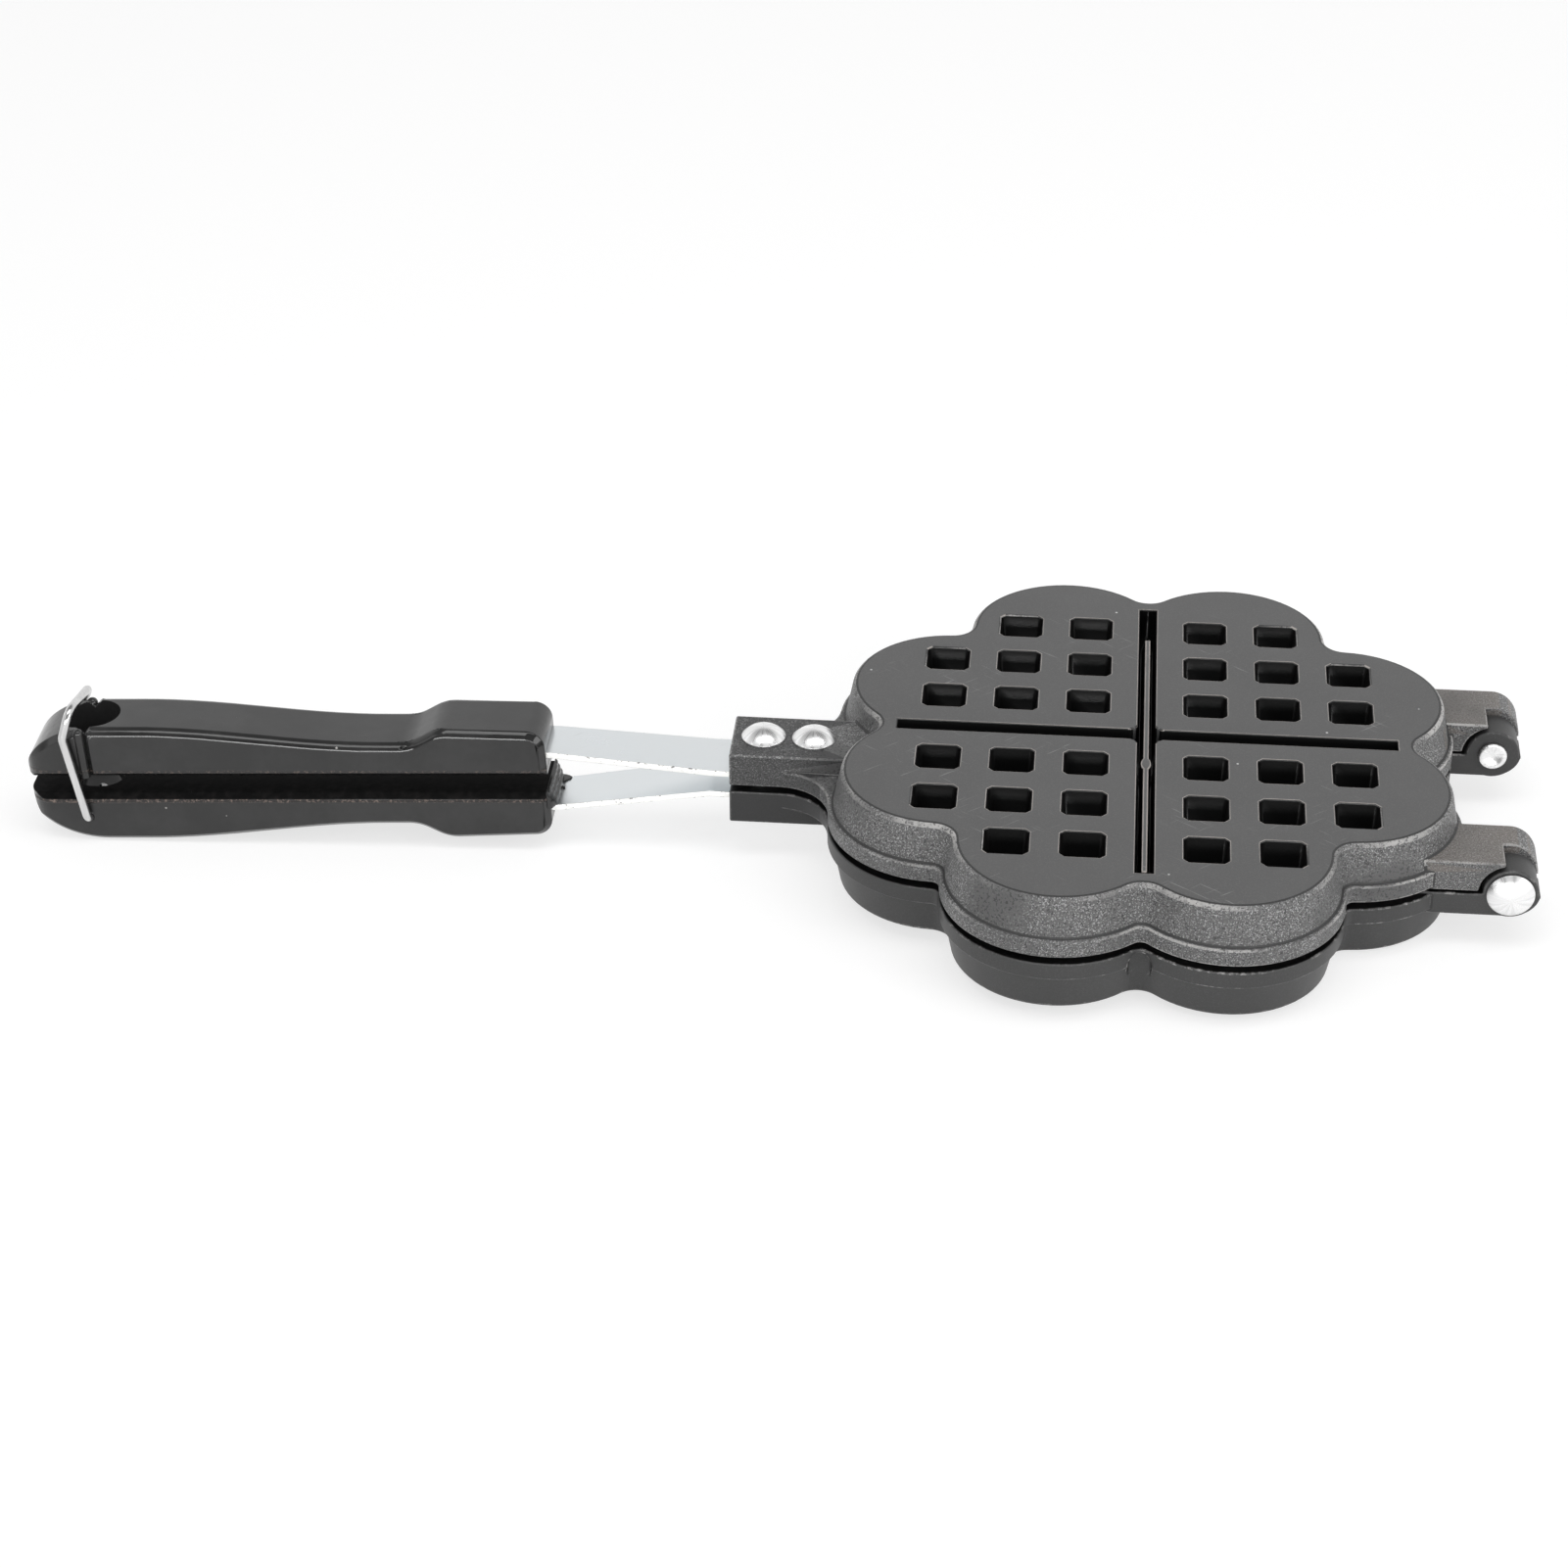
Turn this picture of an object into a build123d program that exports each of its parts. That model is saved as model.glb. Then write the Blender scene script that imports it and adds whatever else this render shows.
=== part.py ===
"""Stovetop waffle iron: two cast plates of four hearts, hinged at one side,
each on a strap handle with a moulded grip, and locked shut by a wire bail.

Millimetres.  The origin is the centre of the flower on the lower plate's base,
+X runs from the grips to the hinge, +Z is up.  Both plates are one casting: the
upper one is the lower one turned over about the X axis at the parting height.
"""

import os
from math import asin, atan, cos, degrees, radians, sin, sqrt

from build123d import *

os.makedirs("parts", exist_ok=True)

# ---------------------------------------------------------------- plate outline
LOBES = 8                      # two lobes to a heart, four hearts
LOBE_RING = 53.3               # centres of the lobes from the middle
LOBE_RADIUS = 24.5
VALLEY_RADIUS = 5.6            # hollow between two lobes

# ---------------------------------------------------------------- plate heights
PLATE_HEIGHT = 14.6            # base to the face of the flange
PARTING_GAP = 1.8              # between the two flange faces
FLANGE_HEIGHT = 4.5
FLANGE_REACH = 3.3             # flange outside the base's outline
WALL_SPREAD = 2.0              # how far the drafted wall leans out below the flange
BASE_EDGE = 0.7                # bevel of the base's rim
FLOOR = 4.2                    # thickness under the cooking face
RIM_WIDTH = 5.0                # flange face between cavity and outside
CAVITY_DRAFT = 12.0            # degrees
LIP_WIDTH = 2.0                # sealing lip round the cavity
LIP_CLEARANCE = 0.1            # lip to the parting plane

# ---------------------------------------------------------------- studs and ridges
STUD_PITCH = 18.0
FIRST_STUD = 14.55             # middle line to the first row of studs
STUD_ROWS = 3                  # per heart, without the outer corner
STUD_WIDTH = 14.0              # at the cooking face
STUD_HEIGHT = 8.3
STUD_DRAFT = 9.0
STUD_CORNER = 1.6
POCKET_WIDTH = 10.8            # hollow in the back of each stud, at the base
POCKET_DEPTH = 9.5
POCKET_DRAFT = 8.0
POCKET_CORNER = 1.2
RIDGE_WIDTH = 9.0              # between the hearts, at the cooking face
RIDGE_TOP_DROP = 1.5           # below the flange face
RIDGE_DRAFT = 11.0
GROOVE_WIDTH = 4.4             # hollow in the back of the ridges
GROOVE_LENGTH = 123.0
GROOVE_DEPTH = 8.0
GROOVE_CORNER = 2.2
RIB_WIDTH = 1.3                # thin rib that stands in the cross groove
RIB_START = -46.0
RIB_END = 61.0
RIB_KNOT_Y = 13.5
RIB_KNOT_LENGTH = 5.4
RIB_KNOT_WIDTH = 2.5
VENT_WIDTH = 5.6               # arched recess in the flange at one valley
VENT_DEPTH = 1.3
VENT_HEIGHT = 3.4

# ---------------------------------------------------------------- hinge ears
PIN_X = 87.5
PIN_RADIUS = 3.0
PIN_FIT = 0.05                 # radial running clearance of the hinge rivets
PIN_PLAY = 0.15                # end play of the hinge rivets, each end
PIN_HEAD_RADIUS = 5.7
PIN_HEAD_HEIGHT = 2.8
PIN_TAIL_RADIUS = 3.6
PIN_TAIL_HEIGHT = 1.1
PIN_TAIL_TAPER = 0.4
PIN_DIMPLE_RADIUS = 2.2        # cone left by the riveting punch
PIN_DIMPLE_DEPTH = 0.7
EAR_Y = 31.4                   # middle of each ear
EAR_WIDTH = 17.2
EAR_NOSE = 7.1                 # nose of the ear ahead of the pin's axis
UPPER_EAR_HEIGHT = 8.5         # flat outside of the ears from the pin's axis
LOWER_EAR_HEIGHT = 6.4
EAR_GAP = 0.35                 # ear face to the parting plane
KNUCKLE_RADIUS = 6.6
KNUCKLE_CLEARANCE = 1.1        # round the other plate's knuckle
KNUCKLE_SIDE_GAP = 0.15        # each knuckle to the middle of the ear
NOTCH_SETBACK = 1.9            # notch wall before the pin's axis

# ---------------------------------------------------------------- handle sockets
SOCKET_END = -102.5
SOCKET_HALF_WIDTH = 9.4
SOCKET_OUTER = 9.8             # outside of the socket from the parting plane
SOCKET_SWEEP = 13.0            # concave blend of the socket into the flange
RIVET_SPACING = 12.6
FIRST_RIVET_X = -94.7
RIVET_RADIUS = 2.5
RIVET_HEAD_RADIUS = 5.5
RIVET_HEAD_HEIGHT = 3.0
RIVET_TAIL_RADIUS = 3.6        # spread tail, in its countersink
HEAD_RIM = 0.4                 # straight edge under the dome of every rivet head

# ---------------------------------------------------------------- strap handles
STRAP_THICKNESS = 1.6
STRAP_OFFSET = 3.0             # strap's middle from the parting plane
STRAP_WIDTH = 15.6             # at the socket
STRAP_TAIL_WIDTH = 13.2        # at the grip
STRAP_ROOT_X = -77.0
STRAP_BEND = 8.0               # bend radius
RAKE = 3.15                    # droop of both handles, degrees
HANDLE_X = -105.0              # where the handle's own axis starts
STRAP_SPREAD = 7.7             # strap's middle from the handle axis, in the grip
STRAP_BEND_RUN = 5.0           # straight run outside the socket
STRAP_GRIP_RUN = 42.0          # from the handle's start to the grip
STRAP_LENGTH = 150.0           # along the handle's axis

# ---------------------------------------------------------------- moulded grips
GRIP_START = 43.3
GRIP_INNER = 2.4               # flat inner face from the handle axis
GRIP_HALF_WIDTH = 8.9
BLOCK_HEIGHT = 15.9            # at the rear of the front block
BLOCK_FRONT_HEIGHT = 15.2
BLOCK_END = 67.5
BLOCK_ROUND = 4.5
NECK_HEIGHT = 11.8
NECK_START = 80.0
NECK_END = 85.0
SWELL_HEIGHT = 16.4
SWELL_AT = 148.0
END_START = 158.0              # where the rounded end begins
END_LENGTH = 19.2
GRIP_EDGE = 1.5                # bevel along the outer edges
GRIP_INNER_EDGE = 1.6          # and along the edges that face the other grip
GRIP_END_CORNER = 6.0          # corner of the end seen from above
GRIP_FRONT_CORNER = 2.0
HOLE_AT = 160.0                # hanging hole
HOLE_LENGTH = 11.0             # on the handle axis, where it is narrowest
HOLE_WIDTH = 8.8
HOLE_DRAFT = 7.0               # degrees
V_BEHIND = 0.6                 # upright grooves beside the hole, behind its middle
V_WIDTH = 3.2
V_DEPTH = 1.6
V_TOP_WIDTH = 4.0              # where they run in over the top, to the hole
V_TOP_DEPTH = 1.9
DETENT_BEHIND = 1.7            # upright beads that the bail's legs snap behind
DETENT_RADIUS = 1.4
DETENT_STAND = 0.2
DETENT_TOP = 14.9

# ---------------------------------------------------------------- wire bail
WIRE_RADIUS = 1.1
WIRE_FIT = 0.08                # radial running clearance in the pivot holes
WIRE_SIDE_GAP = 0.45           # leg to the side of the grip
WIRE_END_Y = 6.3
WIRE_BEND = 1.9                # at the pivots
WIRE_KNEE_BEND = 3.0
WIRE_TOP_BEND = 3.6
PIVOT_BEHIND = 2.1             # behind the hanging hole's middle
PIVOT_DROP = 9.1               # below the handle axis
NEAR_KNEE = (2.95, 15.0)       # behind the pivot, above the handle axis
FAR_KNEE = (2.5, 14.4)
NEAR_TOP = (0.5, 22.4, -8.7)   # behind, above, across
FAR_TOP = (0.5, 18.4, 9.3)

CUT_PAST = 1.0                 # how far a cutting shape runs past what it cuts

# ---------------------------------------------------------------- worked-out places
parting = PLATE_HEIGHT + PARTING_GAP / 2
lip_top = parting - LIP_CLEARANCE
wall_height = PLATE_HEIGHT - FLANGE_HEIGHT
wall_draft = degrees(atan(WALL_SPREAD / wall_height))
cavity_grow = FLANGE_REACH - RIM_WIDTH
ridge_height = PLATE_HEIGHT - RIDGE_TOP_DROP - FLOOR
ear_root = PIN_X - LOBE_RING
socket_length = abs(SOCKET_END) - LOBE_RING
socket_base = parting - SOCKET_OUTER
socket_middle = parting - STRAP_OFFSET
rivet_xs = [FIRST_RIVET_X, FIRST_RIVET_X + RIVET_SPACING]
rake = radians(RAKE)
v_at = HOLE_AT + V_BEHIND
detent_at = HOLE_AT + DETENT_BEHIND
pivot_at = HOLE_AT + PIVOT_BEHIND
upward = (Align.CENTER, Align.MIN)


def flower(grow):
    """Draw the lobed outline, grown outwards: lobe arcs joined by valley arcs."""
    half = radians(180 / LOBES)
    lobe_r = LOBE_RADIUS + grow
    valley_r = VALLEY_RADIUS - grow
    valley_ring = LOBE_RING * cos(half) + sqrt(
        (lobe_r + valley_r) ** 2 - (LOBE_RING * sin(half)) ** 2
    )
    lean = asin(valley_ring * sin(half) / (lobe_r + valley_r))

    def polar(radius, angle):
        return Vector(radius * cos(angle), radius * sin(angle))

    for lobe in range(LOBES):
        middle = (2 * lobe + 1) * half
        centre = polar(LOBE_RING, middle)
        first = centre + polar(lobe_r, middle - lean)
        last = centre + polar(lobe_r, middle + lean)
        ThreePointArc(first, polar(LOBE_RING + lobe_r, middle), last)
        next_centre = polar(LOBE_RING, middle + 2 * half)
        next_first = next_centre + polar(lobe_r, middle + 2 * half - lean)
        ThreePointArc(last, polar(valley_ring - valley_r, middle + half), next_first)
    return valley_ring - valley_r


def flower_face(grow, mode=Mode.ADD):
    """Fill the lobed outline in the sketch at hand; returns the valley's radius."""
    with BuildLine() as outline:
        valley = flower(grow)
    make_face(outline.edges(), mode=mode)
    return valley


def ear_plane(y):
    """Upright plane across an ear with its origin on the pin's axis, facing -Y."""
    return Plane(origin=(PIN_X, y, parting), x_dir=(1, 0, 0), z_dir=(0, -1, 0))


def along_handle(run, rise):
    """X and Z of a point so far along the drooping handle axis and above it."""
    return (
        HANDLE_X - run * cos(rake) - rise * sin(rake),
        parting - run * sin(rake) + rise * cos(rake),
    )


def handle_side(side):
    """Upright plane through the handle axis; +X to the hinge, +Y away from the axis."""
    return Plane(
        origin=(HANDLE_X, 0, parting),
        x_dir=(cos(rake), 0, sin(rake)),
        z_dir=(0, -side, 0),
    )


handle_plan = Plane(
    origin=(HANDLE_X, 0, parting),
    x_dir=(cos(rake), 0, sin(rake)),
    z_dir=(-sin(rake), 0, cos(rake)),
)

# One stud of the cooking face, and the drafted pocket behind it.
with BuildPart() as stud:
    with BuildSketch(Plane.XY.offset(FLOOR)) as foot:
        Rectangle(STUD_WIDTH, STUD_WIDTH)
        chamfer(foot.vertices(), STUD_CORNER)
    extrude(amount=STUD_HEIGHT, taper=STUD_DRAFT)

with BuildPart() as pocket:
    with BuildSketch() as mouth:
        Rectangle(POCKET_WIDTH, POCKET_WIDTH)
        chamfer(mouth.vertices(), POCKET_CORNER)
    extrude(amount=POCKET_DEPTH, taper=POCKET_DRAFT)

# Studs stand in each heart's square, without the square's outer corner.
stud_rows = [FIRST_STUD + STUD_PITCH * row for row in range(STUD_ROWS)]
stud_spots = [
    (side_x * x, side_y * y)
    for x in stud_rows
    for y in stud_rows
    if not x == y == stud_rows[-1]
    for side_x in (-1, 1)
    for side_y in (-1, 1)
]


def plate(ear_height):
    """One casting, back down: flower, socket, ears, studs and pockets, as a part."""
    with BuildPart() as casting:
        # Outer shell: drafted wall, flange with the handle socket swept into it.
        with BuildSketch():
            valley_reach = flower_face(0)
        extrude(amount=wall_height, taper=-wall_draft)
        chamfer(casting.faces().sort_by(Axis.Z)[0].edges(), BASE_EDGE)
        with BuildSketch(Plane.XY.offset(wall_height)) as flange:
            flower_face(FLANGE_REACH)
            with Locations((SOCKET_END, 0)):
                Rectangle(socket_length, 2 * SOCKET_HALF_WIDTH, align=(Align.MIN, Align.CENTER))
            fillet(flange.vertices().sort_by_distance((SOCKET_END, 0))[2:4], SOCKET_SWEEP)
        extrude(amount=FLANGE_HEIGHT)
        with BuildSketch(Plane.XY.offset(socket_base)):
            with Locations((SOCKET_END, 0)):
                Rectangle(socket_length, 2 * SOCKET_HALF_WIDTH, align=(Align.MIN, Align.CENTER))
        extrude(amount=PLATE_HEIGHT - socket_base)

        # Hinge ears: block and nose below the pin, knuckle round it on the -Y half,
        # and on the +Y half a notch for the other plate's knuckle.
        for ear in (-EAR_Y, EAR_Y):
            with BuildSketch(ear_plane(ear - KNUCKLE_SIDE_GAP)):
                Ellipse(EAR_NOSE, ear_height)
                with Locations((0, -ear_height)):
                    Rectangle(ear_root, ear_height, align=(Align.MAX, Align.MIN))
                with Locations((0, -EAR_GAP)):
                    Rectangle(2 * ear_root, 2 * ear_height, align=upward, mode=Mode.SUBTRACT)
                Circle(KNUCKLE_RADIUS)
                Circle(PIN_RADIUS + PIN_FIT, mode=Mode.SUBTRACT)
            extrude(amount=EAR_WIDTH / 2 - KNUCKLE_SIDE_GAP)
            with BuildSketch(ear_plane(ear + EAR_WIDTH / 2)):
                with Locations((-NOTCH_SETBACK, -ear_height)):
                    Rectangle(
                        ear_root - NOTCH_SETBACK, ear_height - EAR_GAP,
                        align=(Align.MAX, Align.MIN),
                    )
                Circle(KNUCKLE_RADIUS + KNUCKLE_CLEARANCE, mode=Mode.SUBTRACT)
            extrude(amount=EAR_WIDTH / 2 + KNUCKLE_SIDE_GAP)

        # Cooking cavity inside its raised sealing lip.
        with BuildSketch(Plane.XY.offset(PLATE_HEIGHT)):
            flower_face(cavity_grow + LIP_WIDTH)
        extrude(amount=lip_top - PLATE_HEIGHT)
        with BuildSketch(Plane(origin=(0, 0, lip_top), x_dir=(1, 0, 0), z_dir=(0, 0, -1))):
            flower_face(cavity_grow)
        extrude(amount=lip_top - FLOOR, taper=CAVITY_DRAFT, mode=Mode.SUBTRACT)

        # Ridges that part the four hearts, and the studs.
        with BuildSketch(Plane.XY.offset(FLOOR)) as ridges:
            reach = 2 * valley_reach + WALL_SPREAD * FLOOR / wall_height
            Rectangle(reach, RIDGE_WIDTH)
            Rectangle(RIDGE_WIDTH, reach)
        extrude(amount=ridge_height, taper=RIDGE_DRAFT)
        with Locations(*stud_spots):
            add(stud.part)

        # Back of the plate: pockets, cross groove, and the rib that stands in it.
        with Locations(*stud_spots):
            add(pocket.part, mode=Mode.SUBTRACT)
        with BuildSketch() as groove:
            Rectangle(GROOVE_LENGTH, GROOVE_WIDTH)
            Rectangle(GROOVE_WIDTH, GROOVE_LENGTH)
            fillet(groove.vertices().sort_by_distance((0, 0))[:4], GROOVE_CORNER)
            with Locations((0, (RIB_START + RIB_END) / 2)):
                Rectangle(RIB_WIDTH, RIB_END - RIB_START, mode=Mode.SUBTRACT)
            with Locations((0, RIB_KNOT_Y)):
                Ellipse(RIB_KNOT_WIDTH / 2, RIB_KNOT_LENGTH / 2, mode=Mode.SUBTRACT)
        extrude(amount=GROOVE_DEPTH, mode=Mode.SUBTRACT)

        # Arched recess in the flange at the -Y valley.
        with BuildSketch(Plane.XZ.offset(valley_reach + WALL_SPREAD)):
            with Locations((0, wall_height - VENT_WIDTH)):
                SlotOverall(2 * (VENT_HEIGHT + VENT_WIDTH), VENT_WIDTH, rotation=90)
        extrude(amount=VENT_DEPTH + FLANGE_REACH, mode=Mode.SUBTRACT)

        # Slot for the strap, and the rivet holes, countersunk from the inside.
        with BuildSketch(Plane.YZ.offset(SOCKET_END)):
            with Locations((0, socket_middle)):
                Rectangle(STRAP_WIDTH, STRAP_THICKNESS)
        extrude(amount=STRAP_ROOT_X - SOCKET_END, mode=Mode.SUBTRACT)
        with Locations(*[(x, 0, PLATE_HEIGHT) for x in rivet_xs]):
            CounterSinkHole(RIVET_RADIUS, RIVET_TAIL_RADIUS, depth=SOCKET_OUTER)
    return casting.part


# Both plates come from one casting, the upper one turned over and taller in its ears.
turn_over = Axis((0, 0, parting), (1, 0, 0))
with BuildPart() as lower_plate:
    add(plate(LOWER_EAR_HEIGHT))

with BuildPart() as upper_plate:
    add(plate(UPPER_EAR_HEIGHT).rotate(turn_over, 180))

# Socket rivets: domed head outside, tail spread into the countersink inside.
with BuildPart() as socket_rivet:
    crown = socket_base - RIVET_HEAD_HEIGHT
    with BuildSketch(Plane.XZ):
        with BuildLine():
            dome_end = (RIVET_HEAD_RADIUS, socket_base - HEAD_RIM)
            TangentArc((0, crown), dome_end, tangent=(1, 0))
            Polyline(
                dome_end,
                (RIVET_HEAD_RADIUS, socket_base),
                (RIVET_RADIUS, socket_base),
                (RIVET_RADIUS, PLATE_HEIGHT - (RIVET_TAIL_RADIUS - RIVET_RADIUS)),
                (RIVET_TAIL_RADIUS, PLATE_HEIGHT),
                (0, PLATE_HEIGHT),
                (0, crown),
            )
        make_face()
    revolve(axis=Axis.Z)

socket_rivets = {}
for number, x in enumerate(rivet_xs, start=1):
    with BuildPart() as placed:
        with Locations((x, 0, 0)):
            add(socket_rivet.part)
    socket_rivets[f"lower_socket_rivet_{number}"] = placed
    with BuildPart() as placed:
        add(socket_rivet.part.moved(Location((x, 0, 0))).rotate(turn_over, 180))
    socket_rivets[f"upper_socket_rivet_{number}"] = placed

# Hinge rivets: head on the outer side, shank, and a dimpled tail inside.
with BuildPart() as near_hinge_rivet:
    head_seat = -EAR_Y - EAR_WIDTH / 2 - PIN_PLAY
    tail_seat = -EAR_Y + EAR_WIDTH / 2 + PIN_PLAY
    tail_end = tail_seat + PIN_TAIL_HEIGHT
    crown = head_seat - PIN_HEAD_HEIGHT
    with BuildSketch(Plane(origin=(PIN_X, 0, parting))):
        with BuildLine():
            dome_end = (PIN_HEAD_RADIUS, head_seat - HEAD_RIM)
            TangentArc((0, crown), dome_end, tangent=(1, 0))
            Polyline(
                dome_end,
                (PIN_HEAD_RADIUS, head_seat),
                (PIN_RADIUS, head_seat),
                (PIN_RADIUS, tail_seat),
                (PIN_TAIL_RADIUS, tail_seat),
                (PIN_TAIL_RADIUS - PIN_TAIL_TAPER, tail_end),
                (PIN_DIMPLE_RADIUS, tail_end),
                (0, tail_end - PIN_DIMPLE_DEPTH),
                (0, crown),
            )
        make_face()
    revolve(axis=Axis((PIN_X, 0, parting), (0, 1, 0)))

with BuildPart() as far_hinge_rivet:
    add(near_hinge_rivet.part)
    mirror(about=Plane.XZ, mode=Mode.REPLACE)


def strap_path(side):
    """Middle line of a strap: flat in its socket, spread, then along the grip."""
    socket_z = parting + side * STRAP_OFFSET
    return [
        (STRAP_ROOT_X, socket_z),
        (SOCKET_END - STRAP_BEND_RUN, socket_z),
        along_handle(STRAP_GRIP_RUN, side * STRAP_SPREAD),
        along_handle(STRAP_LENGTH, side * STRAP_SPREAD),
    ]


# Straps: spring steel strip, bent twice, wider at the socket than in the grip.
straps = {}
for name, side in (("lower_strap", -1), ("upper_strap", 1)):
    with BuildPart() as strap:
        with BuildSketch(Plane.XZ):
            with BuildLine():
                FilletPolyline(*strap_path(side), radius=STRAP_BEND)
            trace(line_width=STRAP_THICKNESS)
        extrude(amount=STRAP_WIDTH / 2, both=True)
        with BuildSketch():
            with BuildLine():
                Polyline(
                    (STRAP_ROOT_X + CUT_PAST, 0),
                    (STRAP_ROOT_X + CUT_PAST, STRAP_WIDTH / 2),
                    (SOCKET_END, STRAP_WIDTH / 2),
                    (along_handle(STRAP_GRIP_RUN, 0)[0], STRAP_TAIL_WIDTH / 2),
                    (along_handle(STRAP_LENGTH + CUT_PAST, 0)[0], STRAP_TAIL_WIDTH / 2),
                    (along_handle(STRAP_LENGTH + CUT_PAST, 0)[0], 0),
                    close=True,
                )
            make_face()
            mirror(about=Plane.XZ)
        extrude(amount=4 * parting, both=True, mode=Mode.INTERSECT)
        with Locations(*[(x, 0, parting + side * STRAP_OFFSET) for x in rivet_xs]):
            Cylinder(RIVET_RADIUS, 4 * STRAP_THICKNESS, mode=Mode.SUBTRACT)
    straps[name] = strap


def grip_outline():
    """Side profile of a grip, in its own upright plane, from the front round the end."""
    front_round = (-GRIP_START - BLOCK_ROUND, BLOCK_FRONT_HEIGHT)
    front_side = (-GRIP_START, BLOCK_FRONT_HEIGHT - BLOCK_ROUND)
    level = [(-1, 0), (-1, 0)]
    Line((-GRIP_START, GRIP_INNER), front_side)
    RadiusArc(front_side, front_round, -BLOCK_ROUND)
    Line(front_round, (-BLOCK_END, BLOCK_HEIGHT))
    Spline((-BLOCK_END, BLOCK_HEIGHT), (-NECK_START, NECK_HEIGHT), tangents=level)
    Line((-NECK_START, NECK_HEIGHT), (-NECK_END, NECK_HEIGHT))
    Spline((-NECK_END, NECK_HEIGHT), (-SWELL_AT, SWELL_HEIGHT), tangents=level)
    Line((-SWELL_AT, SWELL_HEIGHT), (-END_START, SWELL_HEIGHT))
    EllipticalCenterArc(
        (-END_START, GRIP_INNER), END_LENGTH, SWELL_HEIGHT - GRIP_INNER,
        start_angle=90, arc_size=90,
    )
    Line((-END_START - END_LENGTH, GRIP_INNER), (-GRIP_START, GRIP_INNER))


# Grips: moulded round their straps, with a hanging hole through the end.
grips = {}
for name, side in (("lower_grip", -1), ("upper_grip", 1)):
    with BuildPart() as grip:
        with BuildSketch(handle_side(side)):
            with BuildLine():
                grip_outline()
            make_face()
        extrude(amount=GRIP_HALF_WIDTH, both=True)
        rims = grip.faces().filter_by(Axis.Y).edges()
        inner_rims = rims.sort_by(SortBy.LENGTH)[-2:]
        chamfer([rim for rim in rims if rim not in inner_rims], GRIP_EDGE)
        chamfer(
            grip.faces().filter_by(Axis.Y).edges().sort_by(SortBy.LENGTH)[-2:],
            GRIP_INNER_EDGE,
        )
        with BuildSketch(handle_plan) as plan:
            with Locations((-GRIP_START, 0)):
                Rectangle(
                    END_START + END_LENGTH - GRIP_START, 2 * GRIP_HALF_WIDTH,
                    align=(Align.MAX, Align.CENTER),
                )
            fillet(plan.vertices().sort_by(Axis.X)[:2], GRIP_END_CORNER)
            fillet(plan.vertices().sort_by(Axis.X)[-2:], GRIP_FRONT_CORNER)
        extrude(amount=2 * SWELL_HEIGHT, both=True, mode=Mode.INTERSECT)
        with BuildSketch(handle_plan):
            with Locations((-HOLE_AT, 0)):
                SlotOverall(HOLE_LENGTH, HOLE_WIDTH)
        extrude(
            amount=side * (SWELL_HEIGHT + CUT_PAST), taper=-HOLE_DRAFT, mode=Mode.SUBTRACT
        )
        add(straps[name.replace("grip", "strap")].part, mode=Mode.SUBTRACT)
        if side > 0:
            # Grooves and beads that hold the closed bail's legs.
            with BuildSketch(handle_plan):
                for flank in (-1, 1):
                    with BuildLine():
                        Polyline(
                            (-v_at - V_WIDTH / 2, flank * GRIP_HALF_WIDTH),
                            (-v_at, flank * (GRIP_HALF_WIDTH - V_DEPTH)),
                            (-v_at + V_WIDTH / 2, flank * GRIP_HALF_WIDTH),
                            close=True,
                        )
                    make_face()
            extrude(amount=2 * SWELL_HEIGHT, mode=Mode.SUBTRACT)
            with BuildSketch(handle_side(side)):
                with BuildLine():
                    Polyline(
                        (-v_at - V_TOP_WIDTH / 2, SWELL_HEIGHT),
                        (-v_at, SWELL_HEIGHT - V_TOP_DEPTH),
                        (-v_at + V_TOP_WIDTH / 2, SWELL_HEIGHT),
                        close=True,
                    )
                make_face()
            extrude(amount=GRIP_HALF_WIDTH, both=True, mode=Mode.SUBTRACT)
            bead_y = GRIP_HALF_WIDTH + DETENT_STAND - DETENT_RADIUS
            with BuildSketch(handle_plan.offset(GRIP_INNER)):
                with Locations((-detent_at, bead_y), (-detent_at, -bead_y)):
                    Circle(DETENT_RADIUS)
            extrude(amount=DETENT_TOP - GRIP_INNER)
            with Locations(handle_plan.offset(DETENT_TOP)):
                with Locations((-detent_at, bead_y), (-detent_at, -bead_y)):
                    Sphere(DETENT_RADIUS)
        else:
            with BuildSketch(handle_side(side)):
                with Locations((-pivot_at, PIVOT_DROP)):
                    Circle(WIRE_RADIUS + WIRE_FIT)
            extrude(amount=GRIP_HALF_WIDTH, both=True, mode=Mode.SUBTRACT)
    grips[name] = grip

# Wire bail: its ends turn in to the lower grip, its top arches over the upper one.
leg_y = GRIP_HALF_WIDTH + WIRE_SIDE_GAP + WIRE_RADIUS
bail_corners = [
    (0, -PIVOT_DROP, -WIRE_END_Y),
    (0, -PIVOT_DROP, -leg_y),
    (*NEAR_KNEE, -leg_y),
    NEAR_TOP,
    FAR_TOP,
    (*FAR_KNEE, leg_y),
    (0, -PIVOT_DROP, leg_y),
    (0, -PIVOT_DROP, WIRE_END_Y),
]
bail_route = [
    Vector(along_handle(pivot_at + run, rise)[0], y, along_handle(pivot_at + run, rise)[1])
    for run, rise, y in bail_corners
]
with BuildPart() as wire_bail:
    with BuildLine() as wire:
        FilletPolyline(
            *bail_route,
            radius=[
                WIRE_BEND, WIRE_KNEE_BEND, WIRE_TOP_BEND,
                WIRE_TOP_BEND, WIRE_KNEE_BEND, WIRE_BEND,
            ],
        )
    with BuildSketch(Plane(origin=wire.line @ 0, z_dir=wire.line % 0)):
        Circle(WIRE_RADIUS)
    sweep()

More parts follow.
